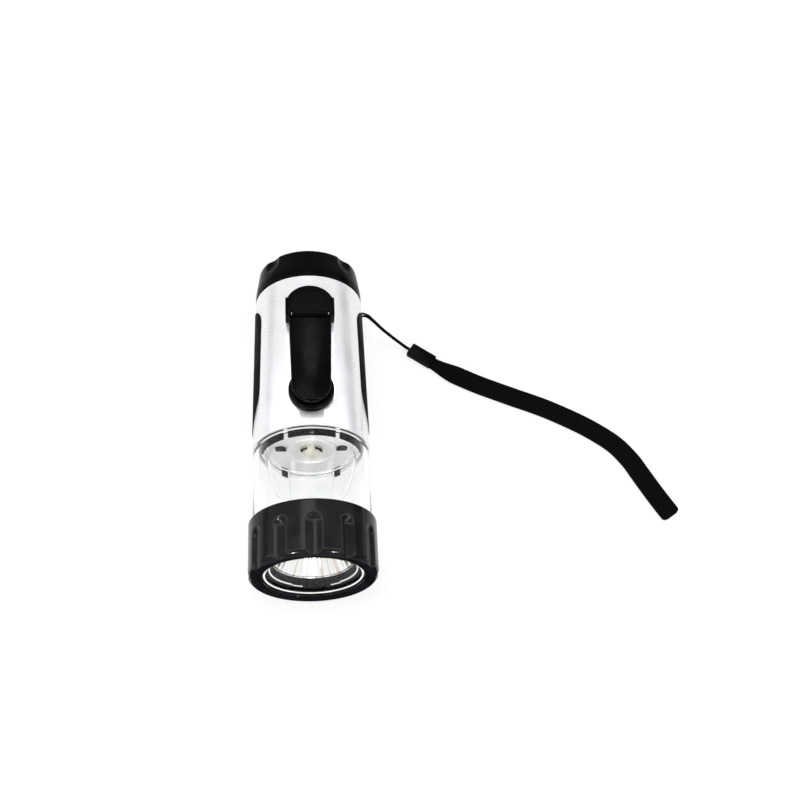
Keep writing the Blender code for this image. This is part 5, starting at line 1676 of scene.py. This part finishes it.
@dataclass
class Head(Assembly):
    """Fluted ring, lens, gasket, stepped bezel, mirror bowl and three lamps."""

    front: float = -77.5
    rear: float = -52.5
    radius: float = 27.5
    opening: float = 21.6
    thread: float = 25.2
    seat: float = 23.7
    nose_round: float = 3.0
    skin: float = 1.6
    flutes: Flutes = field(
        default_factory=lambda: Flutes(12, 0.0, 5.5, 1.3, -84.0, -56.85, 27.5)
    )
    lens_radius: float = 23.4
    lens_set_back: float = 2.5
    lens_depth: float = 1.6
    bezel_set_back: float = 5.4
    bowl_set_back: float = 9.0
    bowl_throat: float = 7.4
    bowl_mouth: float = 16.3
    bowl_depth: float = 8.4
    facets: int = 32
    facet_rise: float = 0.16
    lamp_base: float = -59.5
    lamp_radius: float = 2.5
    lamp_length: float = 7.0
    lamp_circle: float = 3.9

    def ring(self) -> None:
        """Fluted ring with a rounded front and a lip over the lens."""
        front, rear, bend = self.front, self.rear, self.nose_round
        along = [front + 3.0 + 0.45 * i for i in range(14)]
        along += [front + 9.5 + 1.2 * i for i in range(5)]
        along += [rear - 9.6 + 0.45 * i for i in range(20)]
        outer = [(self.radius, s) for s in along if front + 3.2 < s < rear - 0.9]
        lip = arc(self.radius - bend, front + bend, bend, -90, 0, 18)
        tail = rounded(
            [(self.radius, rear - 1.2, 0), (self.radius, rear, 0.8), (self.thread, rear, 0.3)]
        )
        inside = rounded([
            (self.thread, rear, 0.3), (self.thread, front + 5.5, 0.1),
            (self.seat, front + 5.2, 0.1), (self.seat, front + 2.2, 0.1),
            (self.opening, front + 2.2, 0.3), (self.opening, front, 0.45),
        ])
        profile = lip + outer + tail[1:-5] + inside[1:]

        def warp(radius: float, station: float, turn: float) -> float:
            """Flute only the outside."""
            outside = radius >= self.radius - self.skin
            return self.flutes.radius(radius, station, turn) if outside else radius

        self.maker.piece(
            "head_ring_body", turned(profile, 480, warp=warp), Body.HEAD_RING,
            self.finishes.satin_black, "head_ring", sharp=50,
        )

    def lens(self) -> None:
        """Flat lens with a bevelled edge, and the gasket behind it."""
        front, wide = self.front + self.lens_set_back, self.lens_radius
        back = front + self.lens_depth
        corners = [
            (0, front, 0), (20.4, front, 0.05), (20.7, front, 0.05), (wide, front, 0.3),
            (wide, back, 0.3), (0, back, 0),
        ]
        self.maker.piece(
            "lens_disc", turned(rounded(corners)), Body.LENS_PACK, self.finishes.lens, "lens"
        )
        gasket = hoop(21.5, wide, front + 1.9, front + 2.6, 0.2)
        self.maker.piece(
            "lens_seal", turned(gasket), Body.LENS_PACK, self.finishes.rubber, "lens_gasket"
        )

    def bezel(self) -> None:
        """Black ring behind the lens, with white pieces painted as its highlights: a ring at the
        lens edge, arcs on the bore and two small marks.
        """
        face, lens = self.front + self.bezel_set_back, self.front + self.lens_set_back
        slope = rounded([
            (self.lens_radius, face, 0.2), (19.9, face, 0.15), (17.35, face + 0.6, 0.1),
            (17.35, face + 3.4, 0.1), (22.2, face + 3.4, 0.1), (22.2, face + 1.5, 0.1),
            (self.lens_radius, face + 1.5, 0.1),
        ])
        self.maker.piece(
            "lens_bezel_body", turned(slope, 160), Body.LENS_PACK, self.finishes.dull_black,
            "lens_bezel",
        )
        # painted highlights: white plastic arcs and a ring stand in for light caught on the
        # bezel's and lens's edges
        bore = hoop(18.15, 18.75, face - 0.1, face + 0.6, 0.12)
        bead_highlight = hoop(20.3, 21.15, lens - 0.4, lens - 0.05, 0.12)
        mark = rounded([
            (19.1, face - 0.02, 0.05), (19.1, face - 0.2, 0.08),
            (18.6, face - 0.1, 0.08), (18.6, face + 0.25, 0.05),
        ])
        painted_highlights = (
            ("bezel_bore_highlight_left", bore, 240, 210.0, 305.0),
            ("bezel_bore_highlight_right", bore, 240, 55.0, 141.0),
            ("lens_edge_painted_highlight", bead_highlight, 240, 0.0, 360.0),
            ("bezel_highlight_mark_left", mark, 400, 194.0, 208.0),
            ("bezel_highlight_mark_right", mark, 400, 142.0, 156.0),
        )
        for name, profile, sides, start, end in painted_highlights:
            self.maker.piece(
                name, turned(profile, sides, arc_from=start, arc_to=end), Body.LENS_PACK,
                self.finishes.white,
            )

    def bowl(self) -> None:
        """Faceted mirror bowl with its flange."""
        face, steps = self.front + self.bowl_set_back, 14
        throat, mouth = self.bowl_throat, self.bowl_mouth
        inner = []
        for i in range(steps + 1):
            share = i / steps
            radius = throat + (mouth - throat) * share
            fall = 1 - share * (throat + radius) / (throat + mouth)
            inner.append((radius, face + self.bowl_depth * fall))
        outer = [(r + 0.9, s + 0.5) for r, s in inner if s + 0.5 > face + 1.3]
        profile = inner + rounded([
            (mouth + 0.6, face - 0.3, 0.2), (22.2, face - 0.3, 0.1),
            (22.2, face + 0.9, 0.1), (outer[-1][0] + 1.4, face + 0.9, 0.2),
        ])
        profile += outer[::-1]

        def warp(radius: float, _: float, turn: float) -> float:
            """Shallow facets down the bowl."""
            on_wall = throat + 0.2 <= radius <= mouth + 0.3
            return radius + on_wall * self.facet_rise * abs(math.sin(turn * self.facets / 2))

        self.maker.piece(
            "reflector_bowl", turned(profile, 384, warp=warp), Body.BARREL,
            self.finishes.mirror, "torch_reflector", sharp=60,
        )

    def lamps(self) -> None:
        """Three round-nosed lamps with their flanges."""
        base, wide, flange = self.lamp_base, self.lamp_radius, self.lamp_radius + 0.3
        tip = base - self.lamp_length
        foot = rounded([(wide, base - 0.9, 0.05), (flange, base - 0.9, 0.1), (flange, base, 0.1)])
        profile = nose(wide, tip, tip + wide, 9) + foot + [(0.0, base)]
        for i, word in enumerate(("top", "right", "left")):
            turn = 2 * math.pi * i / 3
            at = (self.lamp_circle * math.sin(turn), 0, self.lamp_circle * math.cos(turn))
            self.maker.piece(
                f"lamp_body_{word}", turned(profile, 40, at=at), Body.BARREL,
                self.finishes.warm_lamp, f"torch_lamp_{word}",
            )

    def build(self) -> None:
        """Build the head and dress what stays packed."""
        self.ring()
        self.lens()
        self.bezel()
        self.bowl()
        self.lamps()
        self.maker.dress(self.finishes.white, "head_housing")
        self.maker.dress(self.finishes.board, "torch_board")


@dataclass
class Tail(Assembly):
    """Fluted tail cap with a rubber button, over the board and switch."""

    front: float = 62.0
    rear: float = 77.5
    radius: float = 25.0
    rear_radius: float = 23.4
    taper_start: float = 66.0
    bore: float = 22.3
    button_hole: float = 6.1
    stem_end: float = 71.5

    def cap(self) -> None:
        """Cap that tapers to the rear, with four broad flutes open at the end."""
        front, rear, hole = self.front, self.rear, self.button_hole
        narrowing, length = self.radius - self.rear_radius, rear - self.taper_start
        flutes = Flutes(
            4, math.pi / 4, 8.0, 1.3, self.taper_start, 200.0, self.radius,
            math.atan2(narrowing, length), 0.5,
        )
        outer = [(self.radius, front + 0.5)]
        stations = [front + 1.0 + 0.4 * i for i in range(19)]
        stations += [front + 9.0 + 0.8 * i for i in range(7)]
        for station in stations:
            share = max(0.0, (station - self.taper_start) / length)
            outer.append((self.radius - narrowing * share, station))
        edge = rounded([(*outer[-1], 0), (self.rear_radius, rear, 1.6), (hole, rear, 0.4)])
        inside = rounded([
            (hole, rear, 0.4), (hole, rear - 2.2, 0.1), (20.7, rear - 2.2, 0.3),
            (self.bore, front + 10.0, 0.1), (self.bore, front, 0.3),
            (self.radius - 0.4, front, 0.0),
        ])
        profile = outer + edge[1:-5] + inside

        def warp(radius: float, station: float, turn: float) -> float:
            """Flute only the outside."""
            within = radius < 21.5 or (radius < self.bore + 0.3 and station < rear - 3)
            return radius if within else flutes.radius(radius, station, turn)

        self.maker.piece(
            "tail_cap_body", turned(profile, 320, warp=warp), Body.BARREL,
            self.finishes.black, "tail_cap", sharp=50,
        )

    def button(self) -> None:
        """Rubber button with a dished face and two rings."""
        tip, flange, stem = self.rear - 0.5, self.rear - 2.5, self.stem_end
        corners = [
            (0, tip - 0.5, 0), (3.4, tip - 0.25, 0.3), (3.8, tip, 0.15), (4.4, tip, 0.15),
            (4.6, tip - 0.25, 0.1), (5.8, tip - 0.1, 0.6), (5.8, flange, 0.1), (8.0, flange, 0.2),
            (8.0, flange - 1.4, 0.2), (2.2, flange - 1.4, 0.1), (2.2, stem, 0.1), (0, stem, 0),
        ]
        self.maker.piece(
            "tail_button_body", turned(rounded(corners), 80), Body.BUTTON,
            self.finishes.rubber, "tail_button",
        )

    def build(self) -> None:
        """Build the tail."""
        self.cap()
        self.button()
        self.maker.dress(self.finishes.white, "switch_stem")
        self.maker.dress(self.finishes.board, "tail_board")
        self.maker.dress(self.finishes.black, "tail_switch")


@dataclass
class Works(Assembly):
    """Gears, dynamo and cells inside the barrel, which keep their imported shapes."""

    def build(self) -> None:
        """Dress the works."""
        finishes, dress = self.finishes, self.maker.dress
        dress(finishes.steel, "gear_plate", "idler_axle", "idler_clip", "dynamo_can")
        dress(finishes.steel, "dynamo_rotor")
        dress(finishes.brass, "crank_bush", "rotor_pinion")
        dress(finishes.acetal, "drive_gear", "idler_gear")
        dress(finishes.copper, "dynamo_winding")
        dress(finishes.cell, "battery_cell_left", "battery_cell_middle", "battery_cell_right")


def smooth_route(route: Sequence[Spot], spacing: float) -> list[Vector]:
    """Points a spacing apart on a smooth curve through a route.

    Args:
        route: Points in millimetres.
        spacing: Distance between the new points in metres.

    Returns:
        The points in metres.
    """
    knots = [Vector(point) * MM for point in route]
    ends = [2 * knots[0] - knots[1], *knots, 2 * knots[-1] - knots[-2]]
    fine: list[Vector] = []
    for i in range(1, len(ends) - 2):
        p0, p1, p2, p3 = ends[i - 1 : i + 3]
        for step in range(KNOT_STEPS):
            t = step / KNOT_STEPS
            curve = 2 * p1 + (p2 - p0) * t
            curve += (2 * p0 - 5 * p1 + 4 * p2 - p3) * t**2
            curve += (3 * p1 - p0 - 3 * p2 + p3) * t**3
            fine.append(0.5 * curve)
    fine.append(knots[-1])
    lengths = [(b - a).length for a, b in zip(fine, fine[1:])]
    total = sum(lengths)
    count = max(2, round(total / spacing))
    points, walked, index = [fine[0]], 0.0, 0
    for k in range(1, count):
        target = total * k / count
        while walked + lengths[index] < target:
            walked += lengths[index]
            index += 1
        share = (target - walked) / lengths[index]
        points.append(fine[index].lerp(fine[index + 1], share))
    points.append(fine[-1])
    return points


def route_length(points: Sequence[Vector]) -> float:
    """Length along a row of points."""
    return sum((b - a).length for a, b in zip(points, points[1:]))


@dataclass
class Strap(Assembly):
    """Wrist strap on the ground: thin string through the barrel, crimp and woven tape."""

    string_radius: float = 0.5
    string_step: float = 1.2
    tape_step: float = 0.4
    width: float = 10.0
    neck: float = 6.2
    flare: float = 15.0
    corner: float = 2.0
    bottom: float = 0.1
    height: float = 2.2
    columns: int = 14
    crown_fall: float = 0.55
    rib_height: float = 0.05
    rib_pitch: float = 1.0
    inset: float = 0.995
    crimp_mouth: Flat = (50.2, 51.5)
    crimp_tail: Flat = (61.0, 43.7)
    crimp_size: Spot = (13.4, 6.8, 3.4)
    crimp_bottom: float = 0.3
    crimp_fillet: float = 0.6
    crimp_edge: float = 0.45
    string_route: tuple[Spot, ...] = (
        (49.90, 51.69, 2.57), (48.54, 52.35, 2.75), (46.10, 53.78, 3.80), (41.45, 55.75, 7.04),
        (36.66, 56.88, 11.97), (33.75, 57.38, 15.73), (30.90, 57.70, 19.81),
        (28.55, 58.17, 22.70), (25.40, 58.55, 23.85), (23.60, 58.55, 23.85),
        (22.00, 58.55, 23.85), (21.12, 58.55, 23.48), (20.75, 58.55, 22.60),
        (21.12, 58.55, 21.72), (22.00, 58.55, 21.35), (23.60, 58.55, 21.35),
        (25.40, 58.55, 21.35), (27.61, 58.58, 21.10), (29.97, 58.25, 18.99),
        (32.95, 57.88, 15.07), (35.91, 57.34, 11.23), (40.82, 56.16, 6.16),
        (45.65, 54.11, 2.80), (48.30, 52.56, 1.65), (49.93, 51.72, 1.43),
    )
    tape_route: tuple[Flat, ...] = (
        (60.2, 44.3), (66.8, 39.9), (73.2, 36.3), (83.6, 31.0), (99.2, 24.2), (114.4, 17.7),
        (130.0, 9.3), (139.8, 2.7), (146.7, -3.2), (152.5, -11.0), (156.3, -18.3),
        (161.3, -28.1), (166.2, -37.0), (168.3, -40.2),
    )

    def string(self) -> None:
        """Both runs of the string, out of the crimp, through the barrel and back."""
        points = smooth_route(self.string_route, self.string_step * MM)
        curve = bpy.data.curves.new("wrist_string", "CURVE")
        curve.dimensions = "3D"
        curve.bevel_depth = self.string_radius * MM
        curve.bevel_resolution = 3
        curve.use_fill_caps = True
        spline = curve.splines.new("POLY")
        spline.points.add(len(points) - 1)
        for knot, place in zip(spline.points, points):
            knot.co = (*place, 1.0)
        spline.use_smooth = True
        curve.materials.append(self.finishes.twine.material)
        string = placed("wrist_string", curve)
        self.maker.seat(string, Body.BARREL, self.finishes.twine, "strap_string")

    def crimp(self) -> Object:
        """Moulded crimp, rounded all over.

        Returns:
            The crimp.
        """
        mouth, tail = Vector(self.crimp_mouth), Vector(self.crimp_tail)
        way = tail - mouth
        middle = (mouth + tail) / 2
        length, width, height = self.crimp_size
        outline = oblong(length, width, self.crimp_fillet, 5)
        block = prism(outline, self.crimp_bottom, self.crimp_bottom + height)
        shape = softened(block, self.crimp_edge, 4)
        shape.transform(
            Matrix.Translation((middle.x, middle.y, 0))
            @ Matrix.Rotation(math.atan2(way.y, way.x), 4, "Z")
        )
        shape.transform(Matrix.Scale(MM, 4))
        return self.maker.piece(
            "wrist_crimp", shape, Body.BARREL, self.finishes.black, "strap_crimp",
            torch_frame=False,
        )

    def half_width(self, walked: float, left: float) -> float:
        """Half the tape's width, in metres.

        Args:
            walked: Distance from the crimp in metres.
            left: Distance from the folded end in metres.

        Returns:
            The half width, less at the crimp and round the end's corners.
        """
        share = min(1.0, walked / (self.flare * MM))
        share = share * share * (3 - 2 * share)
        half = (self.neck + (self.width - self.neck) * share) / 2
        into = max(0.0, self.corner - left / MM)
        return (half - self.corner + math.sqrt(self.corner**2 - into**2)) * MM

    def share_across(self, column: int) -> float:
        """How far across the tape a column of points lies, out on top and back underneath."""
        share = (column % self.columns) / (self.columns - 1)
        return 1 - share if column >= self.columns else share

    def section(self, place: Vector, along: Vector, half: float, walked: float) -> list[Vector]:
        """Points round the tape where it is cut across.

        Args:
            place: Middle of the tape.
            along: Its direction.
            half: Half its width in metres.
            walked: Distance from the crimp in metres.

        Returns:
            The points in metres, over the top and back underneath.
        """
        side = Vector((-along.y, along.x, 0))
        rib = self.rib_height * MM * math.sin(walked / MM * 2 * math.pi / self.rib_pitch)
        points = []
        for column in range(2 * self.columns):
            offset = 2 * self.share_across(column) - 1
            thick = self.height / 2 * MM * (1 - self.crown_fall * abs(offset) ** 6)
            lift = (thick - abs(rib)) * (-1 if column >= self.columns else 1)
            points.append(place + side * half * offset * self.inset + Vector((0, 0, lift)))
        return points

    def tape(self, crimp: Object) -> None:
        """Doubled woven tape: two crowned layers, with ribs across and a folded end.

        Args:
            crimp: The crimp that the tape leaves, not used.
        """
        level = self.bottom + self.height / 2
        centre = smooth_route([(x, y, level) for x, y in self.tape_route], self.tape_step * MM)
        shape = bmesh.new()
        uv = shape.loops.layers.uv.new("cloth")
        rows: list[tuple[list[bmesh.types.BMVert], float]] = []
        walked, total = 0.0, route_length(centre)
        for i, place in enumerate(centre):
            before, after = centre[max(i - 1, 0)], centre[min(i + 1, len(centre) - 1)]
            walked += (place - before).length
            half = self.half_width(walked, total - walked if i < len(centre) - 1 else 0.0)
            ring = self.section(place, (after - before).normalized(), half, walked)
            rows.append(([shape.verts.new(point) for point in ring], walked))
        for (near, near_at), (far, far_at) in zip(rows, rows[1:]):
            for j in range(len(near)):
                k = (j + 1) % len(near)
                face = shape.faces.new((near[j], near[k], far[k], far[j]))
                spots = ((j, near_at), (k, near_at), (k, far_at), (j, far_at))
                for loop, (column, at) in zip(face.loops, spots):
                    loop[uv].uv = (at, self.share_across(column) * self.width * MM)
        shape.faces.new(list(reversed(rows[0][0])))
        shape.faces.new(rows[-1][0])
        bmesh.ops.recalc_face_normals(shape, faces=shape.faces)
        piece = self.maker.piece(
            "wrist_tape", shape, Body.BARREL, self.finishes.tape, "strap_webbing", sharp=60,
            torch_frame=False,
        )
        log.info("tape %.1f mm long", total / MM)

    def build(self) -> None:
        """Build the strap."""
        self.string()
        self.tape(self.crimp())


@dataclass
class Studio:
    """Camera at the photograph's view, pale floor, soft lamps and a white surround."""

    position: Spot = (-7.79, -244.43, 481.62)
    forward: Spot = (0.0933, 0.4846, -0.8697)
    up: Spot = (0.01, 0.873, 0.4876)
    focal: float = 51.273
    ambient: float = 0.78
    floor_lift: float = 0.72
    floor_color: float = 0.26
    floor_light: float = 0.86
    floor_half: float = 3.0
    card_tint: Spot = (1.0, 1.0, 1.04)
    softboxes: tuple[tuple[str, Spot, float, float], ...] = (
        ("softbox_top", (-0.12, 0.2, 0.85), 0.45, 2.0),
        ("softbox_left", (-0.62, -0.15, 0.5), 0.22, 1.6),
        ("softbox_right", (0.62, -0.15, 0.5), 0.22, 1.2),
        ("softbox_front", (0.1, -0.85, 0.4), 0.3, 3.4),
    )
    sparks: tuple[tuple[str, Spot, float, float], ...] = (
        ("spark_left", (-0.42, -0.45, 0.6), 0.05, 6.0),
        ("spark_right", (0.42, -0.45, 0.6), 0.05, 6.0),
    )
    cards: tuple[tuple[str, Spot, Spot, Spot, float], ...] = (
        ("flag_left", (-0.30, 0.0, 0.035), (0.0, 0.4, 0.0), (0.0, 0.0, 0.035), 0.35),
        ("flag_right", (0.30, 0.0, 0.06), (0.0, 0.4, 0.0), (0.0, 0.0, 0.06), 0.2),
        ("flag_front", (0.0, -0.128, 0.001), (0.07, 0.0, 0.0), (0.0, 0.05, 0.0), 0.0),
        ("sheen_arm", (0.012, 0.455, 0.72), (0.04, 0.0, 0.0), (0.0, 0.045, 0.0), 13.0),
        *(
            (
                f"sheen_head_{round(math.degrees(turn))}",
                (0.75 * math.sin(turn), 0.125, 0.75 * math.cos(turn)),
                (0.2 * math.cos(turn), 0.0, -0.2 * math.sin(turn)),
                (0.0, 0.075, 0.0),
                4.6,
            )
            for turn in map(math.radians, (-75, -45, -15, 15, 45, 75))
        ),
    )

    def camera(self) -> None:
        """Place the camera."""
        data = bpy.data.cameras.new("camera")
        data.sensor_width = 36.0
        data.lens = self.focal
        data.clip_start = 0.01
        camera = placed("camera", data)
        back = -Vector(self.forward).normalized()
        right = Vector(self.up).cross(back).normalized()
        top = back.cross(right)
        turn = Matrix((right, top, back)).transposed().to_4x4()
        camera.matrix_world = Matrix.Translation(Vector(self.position) * MM) @ turn
        bpy.context.scene.camera = camera

    @staticmethod
    def blank(name: str) -> Material:
        """A material without nodes.

        Args:
            name: Its name.

        Returns:
            The material.
        """
        material = bpy.data.materials.new(name)
        material.use_nodes = True
        material.node_tree.nodes.clear()
        return material

    @staticmethod
    def seen(tree: bpy.types.NodeTree) -> NodeSocket:
        """One for rays from the camera, a gloss or a clear piece, and zero for the others.

        Args:
            tree: The material's or world's nodes.

        Returns:
            The value.
        """
        path = tree.nodes.new("ShaderNodeLightPath")
        total = path.outputs["Is Camera Ray"]
        for output in ("Is Glossy Ray", "Is Transmission Ray"):
            most = tree.nodes.new("ShaderNodeMath")
            most.operation = "MAXIMUM"
            tree.links.new(total, most.inputs[0])
            tree.links.new(path.outputs[output], most.inputs[1])
            total = most.outputs["Value"]
        return total

    def world(self) -> None:
        """White to look at, softer as a light."""
        world = bpy.data.worlds.new("studio")
        world.use_nodes = True
        tree = world.node_tree
        tree.nodes.clear()
        light = tree.nodes.new("ShaderNodeBackground")
        light.inputs["Strength"].default_value = self.ambient
        light.inputs["Color"].default_value = (1, 1, 1, 1)
        white = tree.nodes.new("ShaderNodeBackground")
        white.inputs["Color"].default_value = (1, 1, 1, 1)
        mix = tree.nodes.new("ShaderNodeMixShader")
        out = tree.nodes.new("ShaderNodeOutputWorld")
        tree.links.new(self.seen(tree), mix.inputs["Fac"])
        tree.links.new(light.outputs[0], mix.inputs[1])
        tree.links.new(white.outputs[0], mix.inputs[2])
        tree.links.new(mix.outputs[0], out.inputs["Surface"])
        bpy.context.scene.world = world

    def floor(self) -> None:
        """Pale floor that keeps the torch's shadow and looks white around it."""
        shape = bmesh.new()
        bmesh.ops.create_grid(shape, x_segments=1, y_segments=1, size=self.floor_half)
        floor = loose_object("studio_floor", shape)
        material = self.blank("studio_floor")
        tree = material.node_tree
        lift = tree.nodes.new("ShaderNodeEmission")
        lift.inputs["Strength"].default_value = self.floor_lift
        grey = tree.nodes.new("ShaderNodeBsdfDiffuse")
        grey.inputs["Color"].default_value = (*([self.floor_color] * 3), 1)
        bright = tree.nodes.new("ShaderNodeAddShader")
        white = tree.nodes.new("ShaderNodeBsdfDiffuse")
        white.inputs["Color"].default_value = (*([self.floor_light] * 3), 1)
        mix = tree.nodes.new("ShaderNodeMixShader")
        out = tree.nodes.new("ShaderNodeOutputMaterial")
        tree.links.new(lift.outputs[0], bright.inputs[0])
        tree.links.new(grey.outputs[0], bright.inputs[1])
        tree.links.new(self.seen(tree), mix.inputs["Fac"])
        tree.links.new(white.outputs[0], mix.inputs[1])
        tree.links.new(bright.outputs[0], mix.inputs[2])
        tree.links.new(mix.outputs[0], out.inputs["Surface"])
        floor.data.materials.append(material)

    def lamps(self) -> None:
        """Softboxes all round, the front one kept out of glosses, and two small gloss lamps."""
        for name, place, size, power in self.softboxes + self.sparks:
            data = bpy.data.lights.new(name, "AREA")
            data.shape = "DISK"
            data.size = size
            data.energy = power
            lamp = placed(name, data)
            lamp.location = place
            lamp.rotation_euler = (-Vector(place)).to_track_quat("-Z", "Y").to_euler()
            lamp.visible_diffuse = name.startswith("softbox")
            lamp.visible_glossy = name != "softbox_front"

    def flags(self) -> None:
        """Cards round the torch, seen only in its glosses, that draw the bands on them."""
        for name, middle, one, other, shade in self.cards:
            mesh = bpy.data.meshes.new(name)
            centre, first, second = Vector(middle), Vector(one), Vector(other)
            corners = [centre - first - second, centre + first - second]
            corners += [centre + first + second, centre - first + second]
            mesh.from_pydata(corners, [], [(0, 1, 2, 3)])
            card = placed(name, mesh)
            for kind in ("camera", "diffuse", "transmission", "shadow", "volume_scatter"):
                setattr(card, f"visible_{kind}", False)
            material = self.blank(name)
            tree = material.node_tree
            grey = tree.nodes.new("ShaderNodeEmission")
            grey.inputs["Color"].default_value = (*self.card_tint, 1)
            grey.inputs["Strength"].default_value = shade
            out = tree.nodes.new("ShaderNodeOutputMaterial")
            tree.links.new(grey.outputs[0], out.inputs["Surface"])
            mesh.materials.append(material)

    def build(self) -> None:
        """Set the studio up."""
        self.camera()
        self.world()
        self.floor()
        self.lamps()
        self.flags()
        bpy.context.scene.view_settings.view_transform = "Standard"


def main() -> None:
    """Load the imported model, build every sub-assembly and set up the studio."""
    logging.basicConfig(level=logging.INFO, format="%(message)s")
    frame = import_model()
    Studio().build()
    maker = Maker(Finishes(), frame["nodes"])
    for assembly in (Strap, Barrel, Crank, Lantern, Head, Tail, Works):
        assembly(maker).build()
        log.info("%s done", assembly.__name__)


if __name__ == "__main__":
    main()
